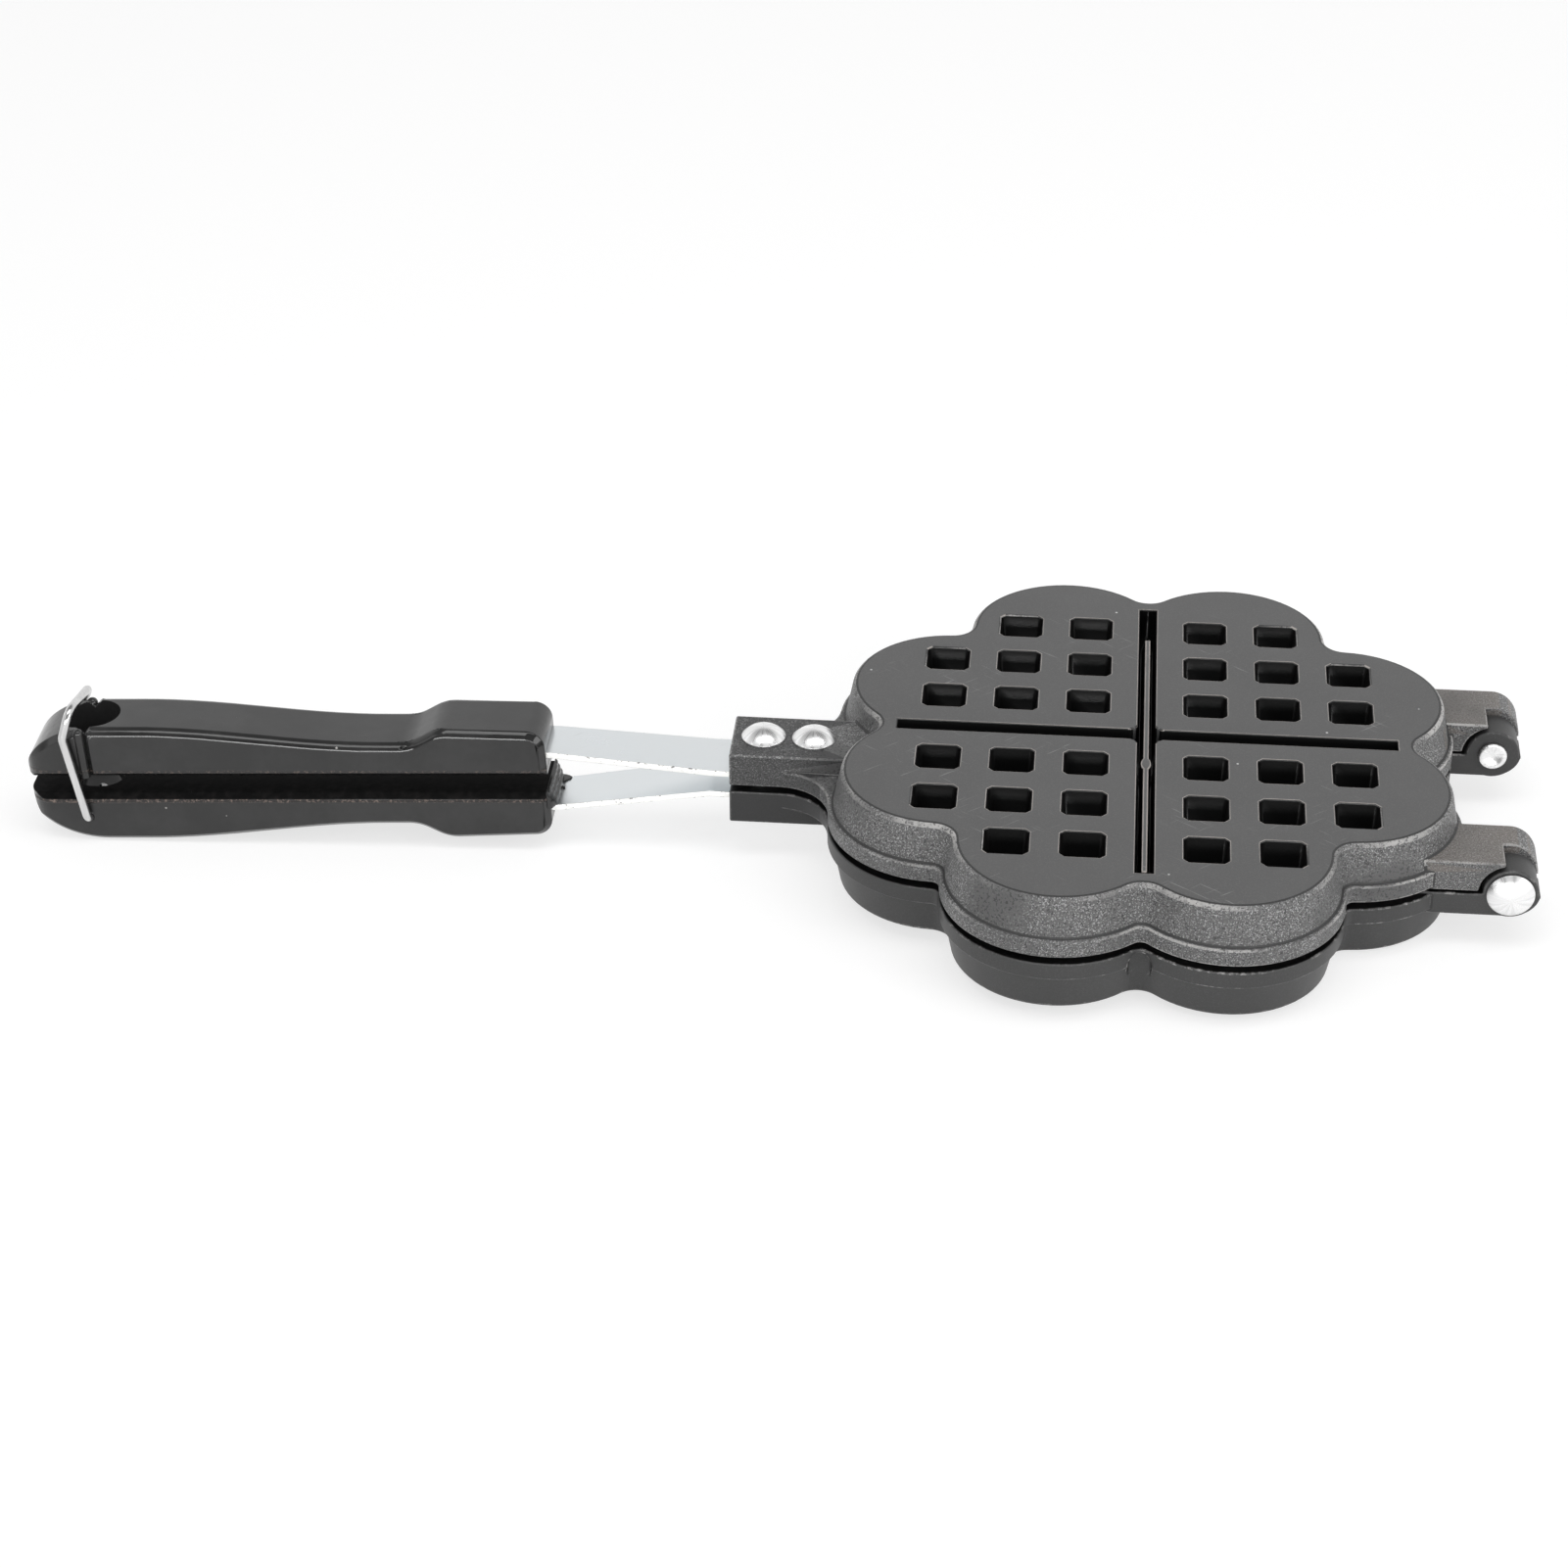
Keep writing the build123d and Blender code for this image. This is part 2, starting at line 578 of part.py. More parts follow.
pieces = {"lower_plate": lower_plate, "upper_plate": upper_plate}
pieces |= {"near_hinge_rivet": near_hinge_rivet, "far_hinge_rivet": far_hinge_rivet}
pieces |= socket_rivets | straps | grips | {"wire_bail": wire_bail}
for name, piece in pieces.items():
    piece.part.label = name
    print(name, len(piece.part.solids()), round(piece.part.volume), piece.part.is_valid)
    export_step(piece.part, f"parts/{name}.step")
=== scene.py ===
import math

import bmesh
import bpy
import numpy as np
from mathutils import Matrix, Vector
from mathutils.geometry import delaunay_2d_cdt


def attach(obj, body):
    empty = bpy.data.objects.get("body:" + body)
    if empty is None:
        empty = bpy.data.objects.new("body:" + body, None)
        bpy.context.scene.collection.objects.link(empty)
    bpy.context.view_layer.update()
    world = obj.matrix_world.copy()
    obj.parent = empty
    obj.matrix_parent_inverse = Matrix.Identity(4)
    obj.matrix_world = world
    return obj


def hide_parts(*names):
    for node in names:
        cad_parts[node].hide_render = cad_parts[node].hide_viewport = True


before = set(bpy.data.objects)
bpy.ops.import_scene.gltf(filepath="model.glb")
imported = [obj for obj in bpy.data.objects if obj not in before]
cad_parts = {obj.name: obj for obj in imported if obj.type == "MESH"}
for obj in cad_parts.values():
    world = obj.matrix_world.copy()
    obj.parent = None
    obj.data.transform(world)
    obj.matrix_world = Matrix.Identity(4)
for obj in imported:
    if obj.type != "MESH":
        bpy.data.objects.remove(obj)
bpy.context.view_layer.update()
MM = 0.001

# ------------------------------------------------------------------ studio
# A long lens looks down on the closed iron from its near side.  The iron lies
# on a pale table, on its grips and on the hinge side of its lower plate.
VIEW_AZIMUTH = math.radians(5.205)
VIEW_ELEVATION = math.radians(32.539)
VIEW_ROLL = math.radians(-0.141)
VIEW_DISTANCE = 0.92476
VIEW_SHIFT_RIGHT = -0.08928
VIEW_SHIFT_UP = -0.01227
FOCAL_PIXELS = 3832.4
FRAME_PIXELS = 1601
SENSOR_WIDTH = 36.0
PLATES_TOP = 0.031

away = Vector((
    math.sin(VIEW_AZIMUTH) * math.cos(VIEW_ELEVATION),
    -math.cos(VIEW_AZIMUTH) * math.cos(VIEW_ELEVATION),
    math.sin(VIEW_ELEVATION),
))
level_right = Vector((math.cos(VIEW_AZIMUTH), math.sin(VIEW_AZIMUTH), 0))
level_up = away.cross(level_right)
right = math.cos(VIEW_ROLL) * level_right + math.sin(VIEW_ROLL) * level_up
up = -math.sin(VIEW_ROLL) * level_right + math.cos(VIEW_ROLL) * level_up
lens = bpy.data.cameras.new("lens")
lens.sensor_width = SENSOR_WIDTH
lens.lens = SENSOR_WIDTH * FOCAL_PIXELS / FRAME_PIXELS
camera = bpy.data.objects.new("camera", lens)
camera.matrix_world = Matrix((right, up, away)).transposed().to_4x4()
camera.location = (
    Vector((0, 0, PLATES_TOP))
    + VIEW_DISTANCE * away
    + VIEW_SHIFT_RIGHT * right
    + VIEW_SHIFT_UP * up
)
bpy.context.collection.objects.link(camera)
bpy.context.scene.camera = camera
bpy.context.scene.view_settings.view_transform = "Standard"


def new_material(name, colour, roughness, metallic=0.0):
    """A material with its Principled shader's plain values set, and its tree."""
    material = bpy.data.materials.new(name)
    material.use_nodes = True
    shader = material.node_tree.nodes["Principled BSDF"]
    shader.inputs["Base Color"].default_value = (*colour, 1)
    shader.inputs["Roughness"].default_value = roughness
    shader.inputs["Metallic"].default_value = metallic
    return material, material.node_tree, shader


def node(tree, kind, **values):
    """A shader node; values name its sockets, or its settings where it has no such socket."""
    made = tree.nodes.new(kind)
    for key, value in values.items():
        label = key.replace("_", " ").title() if key.islower() else key
        if label in made.inputs:
            made.inputs[label].default_value = value
        else:
            setattr(made, key, value)
    return made


def feed(tree, value, socket):
    """Gives a socket what it reads: another socket, a colour's three numbers or a number."""
    if isinstance(value, bpy.types.NodeSocket):
        tree.links.new(value, socket)
    else:
        socket.default_value = (*value, 1) if isinstance(value, tuple) else value


def arithmetic(tree, operation, first, second=0.0):
    """One Math node on two values, each a socket or a number."""
    made = node(tree, "ShaderNodeMath", operation=operation)
    feed(tree, first, made.inputs[0])
    feed(tree, second, made.inputs[1])
    return made.outputs[0]


def threshold(tree, value, start, end):
    """A soft step of a number socket, 0 at start and 1 at end."""
    step = node(tree, "ShaderNodeMapRange", interpolation_type="SMOOTHSTEP")
    for given, label in ((value, "Value"), (start, "From Min"), (end, "From Max")):
        feed(tree, given, step.inputs[label])
    return step.outputs[0]


def mix_number(tree, mask, first, second):
    """Blends two numbers, each a socket or a value, through a mask."""
    mix = node(tree, "ShaderNodeMix")
    for given, index in ((mask, 0), (first, 2), (second, 3)):
        feed(tree, given, mix.inputs[index])
    return mix.outputs[0]


TABLE_SIZE = 8.0
TABLE_REST_X = 0.0727
TABLE_SLOPE = math.radians(1.64)
TABLE_WHITE = (0.93, 0.93, 0.93)
BACKDROP_SHARE = 0.6
BACKDROP_LIGHT = 1.17
table_mesh = bpy.data.meshes.new("table")
half = TABLE_SIZE / 2
table_xy = np.array([(-half, -half), (half, -half), (half, half), (-half, half)])
table_z = (table_xy[:, 0] - TABLE_REST_X) * math.tan(TABLE_SLOPE)
table_mesh.from_pydata(np.column_stack([table_xy, table_z]).tolist(), [], [(0, 1, 2, 3)])
table = bpy.data.objects.new("table", table_mesh)
bpy.context.collection.objects.link(table)
paper, tree, shader = new_material("white_paper", TABLE_WHITE, 0.9)
rays = node(tree, "ShaderNodeLightPath").outputs
seen = arithmetic(tree, "MAXIMUM", rays["Is Camera Ray"], rays["Is Glossy Ray"])
glow = node(tree, "ShaderNodeEmission", Strength=BACKDROP_LIGHT)
lit = node(tree, "ShaderNodeMixShader")
feed(tree, arithmetic(tree, "MULTIPLY", seen, BACKDROP_SHARE), lit.inputs["Fac"])
feed(tree, shader.outputs[0], lit.inputs[1])
feed(tree, glow.outputs[0], lit.inputs[2])
feed(tree, lit.outputs[0], tree.nodes["Material Output"].inputs["Surface"])
table_mesh.materials.append(paper)

# Polished parts see a white room with a dark ceiling, and a dim space in front.
# Each shade starts and is full at these parts of a ray's direction.
CEILING = (0.60, 0.80)
FRONT = (0.1, -0.3)
OFF_THE_FLOOR = (0.02, 0.25)
ROOM_SHADE = 0.22
ROOM_LIGHT = 0.45
world = bpy.data.worlds.new("room")
bpy.context.scene.world = world
world.use_nodes = True
tree = world.node_tree
ways = node(tree, "ShaderNodeSeparateXYZ")
feed(tree, node(tree, "ShaderNodeTexCoord").outputs["Generated"], ways.inputs[0])
up_high = threshold(tree, ways.outputs["Z"], *CEILING)
in_front = arithmetic(
    tree, "MULTIPLY",
    threshold(tree, ways.outputs["Y"], *FRONT),
    threshold(tree, ways.outputs["Z"], *OFF_THE_FLOOR),
)
mirrored = mix_number(tree, arithmetic(tree, "MAXIMUM", up_high, in_front), 1.0, ROOM_SHADE)
rays = node(tree, "ShaderNodeLightPath").outputs
strength = mix_number(tree, rays["Is Glossy Ray"], ROOM_LIGHT, mirrored)
sky = tree.nodes["Background"]
sky.inputs["Color"].default_value = (1, 1, 1, 1)
feed(tree, mix_number(tree, rays["Is Camera Ray"], strength, 1.0), sky.inputs["Strength"])


def soft_box(name, place, aim, size, power):
    """A rectangular studio lamp that faces a point."""
    lamp = bpy.data.lights.new(name, "AREA")
    lamp.shape = "RECTANGLE"
    lamp.size, lamp.size_y = size
    lamp.energy = power
    box = bpy.data.objects.new(name, lamp)
    box.location = place
    box.rotation_euler = (Vector(aim) - Vector(place)).to_track_quat("-Z", "Y").to_euler()
    bpy.context.collection.objects.link(box)
    return box


soft_box("lamp_above", place=(0, -0.24, 1.2), aim=(-0.05, 0, 0), size=(1.4, 0.45), power=6.5)
strip = soft_box(
    "strip_in_front", place=(-0.05, -1.0, 0.28), aim=(-0.1, 0, 0), size=(1.5, 0.16), power=8.0
)
strip.visible_diffuse = False
soft_box("lamp_right", place=(1.2, -0.75, 0.65), aim=(0, 0, 0), size=(0.7, 0.8), power=6.0)
soft_box("lamp_left", place=(-1.2, -0.6, 0.7), aim=(-0.1, 0, 0), size=(0.6, 0.8), power=1.5)

# ------------------------------------------------------------------ cast plates
# Two flower-shaped castings in dark coated aluminium.  Sand-blasted walls and
# lugs, a smooth back, and drafted pockets coated black inside, their black
# deepened with painted shade.
POCKET_PITCH = 18 * MM
FIRST_POCKET = 14.55 * MM
POCKET_REACH = 5.7 * MM
STUD_REACH = 7.2 * MM
POCKET_ROWS = 3
GROOVE_REACH = 2.5 * MM
GROOVE_END = 62 * MM
POCKET_DEPTH = 11 * MM
CAVITY_RADIUS = 58 * MM
FLOOR_RADIUS = 72 * MM
WALL_RADIUS = 78 * MM
CAVITY_LOW = 4.0 * MM
CAVITY_FLOOR = 5.0 * MM
CAVITY_HIGH = 15.2 * MM
PARTING = 15.5 * MM
CAST_EDGE = 0.45 * MM
POCKET_EDGE = 0.3 * MM
RIM_EDGE = 0.45 * MM
RIM_REACH = 62.5 * MM
EAR_FROM = 66 * MM
EAR_HEIGHTS = (8.5 * MM, 6.4 * MM)
EAR_REACH = 0.2 * MM
SOCKET_FROM = -80 * MM
MEETING_REACH = 1.2 * MM
BACK_DEPTH = 0.05 * MM         # depths below the casting's back
WALL_DEPTH = 0.25 * MM
RIM_DEPTH = 0.5 * MM
MOUTH_DEPTH = 1.0 * MM
SHOULDER_DEPTH = 1.2 * MM
LEVEL = 0.95                   # least upright part of a level face's normal
NEARLY_LEVEL = 0.9
FLOOR_LEVEL = 0.7
UNDERCUT = -0.2
WELD = 0.002 * MM
SAME_PLANE = math.radians(0.6)
SHARP = math.radians(28)
NORMAL_STEPS = 400             # flats whose normal and offset round alike are one flat
OFFSET_STEP = 0.02 * MM
LEAST_BEND = 0.1
STRIP_SLOT = 1                 # material slot that tells the rounded strips apart
FLAT_FACE_WEIGHT = 90
MOST_CORNERS = 4               # flats of larger faces than this are filled anew
MOSTLY_ALONG = 0.9
NET_WELD = 1e-8


def merged_copy(cad_name, name):
    """A CAD node's mesh under a new name, its loose triangles merged into whole faces."""
    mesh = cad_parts[cad_name].data.copy()
    mesh.materials.clear()
    shape = bmesh.new()
    shape.from_mesh(mesh)
    bmesh.ops.remove_doubles(shape, verts=shape.verts, dist=WELD)
    bmesh.ops.dissolve_limit(
        shape, angle_limit=SAME_PLANE, verts=shape.verts, edges=shape.edges
    )
    for face in shape.faces:
        face.smooth = True
    shape.to_mesh(mesh)
    shape.free()
    mesh.name = name
    piece = bpy.data.objects.new(name, mesh)
    bpy.context.collection.objects.link(piece)
    return piece


def round_edges(piece, widths, segments=3, sharp=SHARP):
    """Rounds each sharp edge to the width in metres that widths(midpoints) gives it.

    The rounded strips of outward edges are marked in the face attribute "edge".
    """
    mesh = piece.data
    shape = bmesh.new()
    shape.from_mesh(mesh)
    angles = np.array([edge.calc_face_angle(0.0) for edge in shape.edges])
    middles = np.array([(edge.verts[0].co + edge.verts[1].co) / 2 for edge in shape.edges])
    shape.free()
    width = widths(middles)
    weight = np.where(angles > sharp, width / width.max(), 0.0).astype(np.float32)
    layer = mesh.attributes.new("bevel_weight_edge", "FLOAT", "EDGE")
    layer.data.foreach_set("value", weight)
    mesh.materials.append(None)
    mesh.materials.append(None)
    bevel = piece.modifiers.new("rounded_edges", "BEVEL")
    bevel.width = width.max()
    bevel.segments = segments
    bevel.limit_method = "WEIGHT"
    bevel.use_clamp_overlap = False
    bevel.miter_outer = "MITER_ARC"
    bevel.material = STRIP_SLOT
    settle(piece)
    refill_flats(piece.data)
    mark_edges(piece.data)
    piece.modifiers.new("flat_faces_stay_flat", "WEIGHTED_NORMAL").weight = FLAT_FACE_WEIGHT
    settle(piece)


def settle(piece):
    """Makes a piece's modifiers part of its mesh."""
    graph = bpy.context.evaluated_depsgraph_get()
    finished = bpy.data.meshes.new_from_object(piece.evaluated_get(graph))
    piece.modifiers.clear()
    piece.data = finished


def refill_flats(mesh):
    """Fills each many-sided flat face anew from its rims: a Delaunay net that keeps its holes."""
    shape = bmesh.new()
    shape.from_mesh(mesh)
    shape.verts.index_update()
    shape.edges.index_update()
    flats = {}
    for face in shape.faces:
        normal = face.normal.copy()
        offsets = [normal.dot(vertex.co) for vertex in face.verts]
        if max(offsets) - min(offsets) < WELD:
            plane = [round(part * NORMAL_STEPS) for part in normal]
            plane.append(round(offsets[0] / OFFSET_STEP))
            flat = flats.setdefault((*plane, face.material_index), (normal, offsets[0], set()))
            flat[2].add(face)
    for (*_, slot), (normal, offset, faces) in flats.items():
        if max(len(face.verts) for face in faces) <= MOST_CORNERS:
            continue
        first = Vector((1, 0, 0)) if abs(normal.x) < MOSTLY_ALONG else Vector((0, 1, 0))
        first = (first - normal * first.dot(normal)).normalized()
        second = normal.cross(first)
        edges = {edge for face in faces for edge in face.edges}
        rims = [e for e in edges if sum(face in faces for face in e.link_faces) == 1]
        rims.sort(key=lambda edge: edge.index)
        corners = {vertex for edge in rims for vertex in edge.verts}
        corners = sorted(corners, key=lambda vertex: vertex.index)
        number = {vertex: index for index, vertex in enumerate(corners)}
        spans = [tuple(number[vertex] for vertex in edge.verts) for edge in rims]
        level = [Vector((first.dot(vertex.co), second.dot(vertex.co))) for vertex in corners]
        net = delaunay_2d_cdt(level, spans, [], 1, NET_WELD)
        places = np.array([tuple(point) for point in net[0]])
        middles = places[np.array(net[2])].mean(axis=1)
        start, end = (np.array([level[span[k]] for span in spans]) for k in (0, 1))
        above = (start[:, 1] > middles[:, 1:]) != (end[:, 1] > middles[:, 1:])
        rise = np.where(above, end[:, 1] - start[:, 1], 1)
        cross = (end - start)[:, 0] * (middles[:, 1:] - start[:, 1]) / rise + start[:, 0]
        inside = (above & (middles[:, :1] < cross)).sum(axis=1) % 2 == 1
        bmesh.ops.delete(shape, geom=list(faces), context="FACES_ONLY")
        all_points = [
            corners[old[0]]
            if old
            else shape.verts.new(first * place[0] + second * place[1] + normal * offset)
            for place, old in zip(net[0], net[3])
        ]
        for triangle in np.array(net[2])[inside]:
            face = shape.faces.new([all_points[k] for k in triangle])
            face.material_index = slot
            face.smooth = True
    loose = [edge for edge in shape.edges if not edge.link_faces]
    bmesh.ops.delete(shape, geom=loose, context="EDGES")
    shape.to_mesh(mesh)
    shape.free()


def mark_edges(mesh):
    """Face attributes: "edge" on rounded outward edges, "crease" on inward ones."""
    shape = bmesh.new()
    shape.from_mesh(mesh)
    bend = np.array(
        [max((e.calc_face_angle_signed(0.0) for e in face.edges), key=abs) for face in shape.faces]
    )
    strip = np.array([face.material_index == STRIP_SLOT for face in shape.faces])
    for face in shape.faces:
        face.material_index = 0
    shape.to_mesh(mesh)
    shape.free()
    mesh.materials.clear()
    write_marks(mesh, edge=strip & (bend > LEAST_BEND), crease=strip & (bend < -LEAST_BEND))


def write_marks(mesh, **marks):
    """Writes face attributes, one number to each face."""
    for name, values in marks.items():
        layer = mesh.attributes.get(name) or mesh.attributes.new(name, "FLOAT", "FACE")
        layer.data.foreach_set("value", np.asarray(values, np.float32))


def read_mark(mesh, name):
    """A face attribute as an array."""
    values = np.empty(len(mesh.polygons), np.float32)
    mesh.attributes[name].data.foreach_get("value", values)
    return values


def face_middles(mesh):
    """Centres and normals of a mesh's faces, as two arrays."""
    middles = np.empty(len(mesh.polygons) * 3, np.float32)
    normals = np.empty(len(mesh.polygons) * 3, np.float32)
    mesh.polygons.foreach_get("center", middles)
    mesh.polygons.foreach_get("normal", normals)
    return middles.reshape(-1, 3), normals.reshape(-1, 3)


def in_hollow(places, half=POCKET_REACH):
    """Whether points lie over a pocket so wide each way or the cross groove, seen along Z."""
    x, y = np.abs(places[:, 0]), np.abs(places[:, 1])
    rows = FIRST_POCKET + POCKET_PITCH * np.arange(POCKET_ROWS)
    near_x = np.abs(x[:, None] - rows).min(axis=1) < half
    near_y = np.abs(y[:, None] - rows).min(axis=1) < half
    outer = (x > rows[-1] - half) & (y > rows[-1] - half)
    groove = (np.minimum(x, y) < GROOVE_REACH) & (np.maximum(x, y) < GROOVE_END)
    return (near_x & near_y & ~outer) | groove


def casting_widths(base):
    """Edge widths of a casting whose back lies at height base."""

    def widths(middles):
        depth = np.abs(middles[:, 2] - base)
        reach = np.hypot(middles[:, 0], middles[:, 1])
        width = np.full(len(middles), CAST_EDGE)
        width[in_hollow(middles)] = POCKET_EDGE
        width[in_hollow(middles) & (depth > MOUTH_DEPTH) & (depth < POCKET_DEPTH)] = 0
        width[(depth < SHOULDER_DEPTH) & (reach > RIM_REACH)] = RIM_EDGE
        return width

    return widths


def mark_casting(mesh, base):
    """Marks a casting's faces by where they lie, for its material to read."""
    middles, normals = face_middles(mesh)
    depth = np.abs(middles[:, 2] - base)
    reach = np.hypot(middles[:, 0], middles[:, 1])
    level = np.abs(normals[:, 2])
    edge = read_mark(mesh, "edge") > 0.5
    back = (depth < BACK_DEPTH) & (level > LEVEL) & ~edge
    pocket = in_hollow(middles) & (depth < POCKET_DEPTH)
    rim = edge & pocket & (depth < RIM_DEPTH)
    facing = np.sign(PARTING - base) * normals[:, 2]
    inward = (middles[:, :2] * normals[:, :2]).sum(axis=1) < 0
    floor = (facing > FLOOR_LEVEL) & (depth < CAVITY_FLOOR) & (reach < FLOOR_RADIUS)
    inside = (reach < CAVITY_RADIUS) | floor | (inward & (reach < WALL_RADIUS))
    inside |= in_hollow(middles, STUD_REACH)
    inside &= (depth > CAVITY_LOW) & (depth < CAVITY_HIGH)
    cooking = inside & (facing > UNDERCUT) & ~pocket
    meeting = (np.abs(middles[:, 2] - PARTING) < MEETING_REACH) & (level > NEARLY_LEVEL)
    # Black coat in the pockets, on the cooking faces and where the plates meet; its near-black
    # colour is partly painted shade of the deep pockets and of the gap between the plates.
    hollow = (pocket & (depth > WALL_DEPTH) & ~rim) | cooking | meeting
    outer_rim = (depth < SHOULDER_DEPTH) & (reach > RIM_REACH) & ~back
    # Painted shade: the rim's first rounded strips next to the back, coloured dark as a shaded
    # line.
    shoulder = outer_rim & (level > NEARLY_LEVEL)
    outward = (middles[:, 2] - PARTING) * np.sign(base - PARTING)
    flush = np.min([np.abs(outward - height) for height in EAR_HEIGHTS], axis=0) < EAR_REACH
    ears = (middles[:, 0] > EAR_FROM) & flush
    socket = (middles[:, 0] < SOCKET_FROM) & ~edge
    write_marks(
        mesh, back=back, hollow=hollow, rim=rim, shoulder=shoulder, ear=ears, socket=socket,
        edge=(edge & ~rim & ~shoulder) | (outer_rim & ~shoulder),
    )


def new_group(name, inputs, outputs):
    """A shader node group with number sockets: the group, what it is given and what it gives."""
    group = bpy.data.node_groups.new(name, "ShaderNodeTree")
    number = {"socket_type": "NodeSocketFloat"}
    for label, value in inputs.items():
        group.interface.new_socket(label, in_out="INPUT", **number).default_value = value
    for label in outputs:
        group.interface.new_socket(label, in_out="OUTPUT", **number)
    given, gives = group.nodes.new("NodeGroupInput"), group.nodes.new("NodeGroupOutput")
    return group, given.outputs, gives.inputs


def object_place(tree):
    """Where each point lies on the object, in metres."""
    return node(tree, "ShaderNodeTexCoord").outputs["Object"]


def face_mark(tree, name):
    """A face attribute's number in a material."""
    return node(tree, "ShaderNodeAttribute", attribute_name=name).outputs["Fac"]


def noise(tree, place, scale, detail=2.0, roughness=0.5):
    """A cloudy number between 0 and 1, its scale in patches per metre."""
    cloudy = node(tree, "ShaderNodeTexNoise", Detail=detail, Roughness=roughness)
    feed(tree, place, cloudy.inputs["Vector"])
    feed(tree, scale, cloudy.inputs["Scale"])
    return cloudy.outputs["Fac"]


def drawn_out(tree, place, grains, turn=0.0, shift=0.0):
    """Places for a noise of scale 1 with so many grains per metre along X, Y and Z."""
    laid = node(tree, "ShaderNodeMapping", vector_type="TEXTURE")
    laid.inputs["Scale"].default_value = [1 / count for count in grains]
    laid.inputs["Rotation"].default_value = (0, 0, turn)
    laid.inputs["Location"].default_value = (shift, shift, 0)
    feed(tree, place, laid.inputs["Vector"])
    return laid.outputs[0]


def mix_colour(tree, mask, first, second):
    """Blends two colours, each a socket or three numbers, through a mask."""
    mix = node(tree, "ShaderNodeMix", data_type="RGBA")
    for given, index in ((mask, 0), (first, 6), (second, 7)):
        feed(tree, given, mix.inputs[index])
    return mix.outputs[2]


def layered(tree, mix, lowest, *layers):
    """Colours or numbers laid over the lowest one, each through its own mask."""
    for mask, over in layers:
        lowest = mix(tree, mask, lowest, over)
    return lowest


def times(tree, first, second):
    """A mask times a number or another mask."""
    return arithmetic(tree, "MULTIPLY", first, second)


def finish_surface(tree, shader, colour, roughness, height, depth, strength=1.0):
    """Gives a shader its colour, its roughness and a relief of so many metres."""
    relief = node(tree, "ShaderNodeBump", Strength=strength, Distance=depth)
    feed(tree, height, relief.inputs["Height"])
    feed(tree, colour, shader.inputs["Base Color"])
    feed(tree, roughness, shader.inputs["Roughness"])
    feed(tree, relief.outputs["Normal"], shader.inputs["Normal"])


# Grain of a blasted casting: bumps, bright sparkles and dark pits, fine as sand; the sparkles are
# painted glints.
GRAIN_LAYERS = ((1.0, 2.0), (1.1, 1.0), (0.6, 1.0))
tree, given, gives = new_group(
    "cast_grain", {"Grains per metre": 2500.0}, ("Height", "Sparkles", "Pits", "Clouds")
)
grain_group, place = tree, object_place(tree)
bumps, sparks, holes = [
    noise(tree, place, times(tree, given["Grains per metre"], share), detail, 0.7)
    for share, detail in GRAIN_LAYERS
]
feed(tree, bumps, gives["Height"])
feed(tree, threshold(tree, sparks, 0.53, 0.66), gives["Sparkles"])
feed(tree, threshold(tree, holes, 0.47, 0.34), gives["Pits"])
feed(tree, noise(tree, place, 55.0, 4.0), gives["Clouds"])

# Worn edges: coating rubbed through along the outward edges, in broken lines.
tree, given, gives = new_group("edge_wear", {"Patches per metre": 420.0, "Amount": 0.5}, ("Mask",))
wear_group, place = tree, object_place(tree)
start = arithmetic(tree, "SUBTRACT", 0.85, given["Amount"])
patches = noise(tree, place, given["Patches per metre"], 5.0, 0.75)
rubbed = threshold(tree, patches, start, arithmetic(tree, "ADD", start, 0.22))
rubbed = times(tree, rubbed, threshold(tree, noise(tree, place, 45.0, 3.0), 0.35, 0.65))
feed(tree, times(tree, rubbed, face_mark(tree, "edge")), gives["Mask"])

# Handling marks: short fine scratches that cross each other, and single bright dots.
SCRATCH_GRAINS = (110, 2400, 400)
SCRATCH_TURNS = ((0.7, 0.11), (2.5, 0.37))
tree, given, gives = new_group("handling_marks", {"Dots per metre": 130.0}, ("Scratches", "Dots"))
marks_group, place = tree, object_place(tree)
scratches = 0.0
for turn, shift in SCRATCH_TURNS:
    lines = noise(tree, drawn_out(tree, place, SCRATCH_GRAINS, turn, shift), 1.0, 1.0)
    scratches = arithmetic(tree, "ADD", threshold(tree, lines, 0.69, 0.75), scratches)
here = threshold(tree, noise(tree, place, 38.0, 2.0), 0.52, 0.62)
feed(tree, times(tree, scratches, here), gives["Scratches"])
cells = node(tree, "ShaderNodeTexVoronoi")
feed(tree, place, cells.inputs["Vector"])
feed(tree, given["Dots per metre"], cells.inputs["Scale"])
draw = node(tree, "ShaderNodeSeparateColor")
feed(tree, cells.outputs["Color"], draw.inputs[0])
dots = threshold(tree, cells.outputs["Distance"], 0.05, 0.03)
feed(tree, times(tree, dots, threshold(tree, draw.outputs[0], 0.7, 0.75)), gives["Dots"])

BARE_METAL = (0.5, 0.49, 0.48)
RIM_WEAR_AND_HIGHLIGHT = (0.47, 0.43, 0.4)
EAR_STAIN = (0.22, 0.19, 0.165)
SCUFF = (0.3, 0.3, 0.3)
CHIP = (0.6, 0.6, 0.6)
SOCKET_PAINTED_SHADE = (0.004, 0.004, 0.005)
# Near black: the black coat darkened with painted shade.
HOLLOW_BLACK_AND_SHADE = (0.005, 0.005, 0.005)


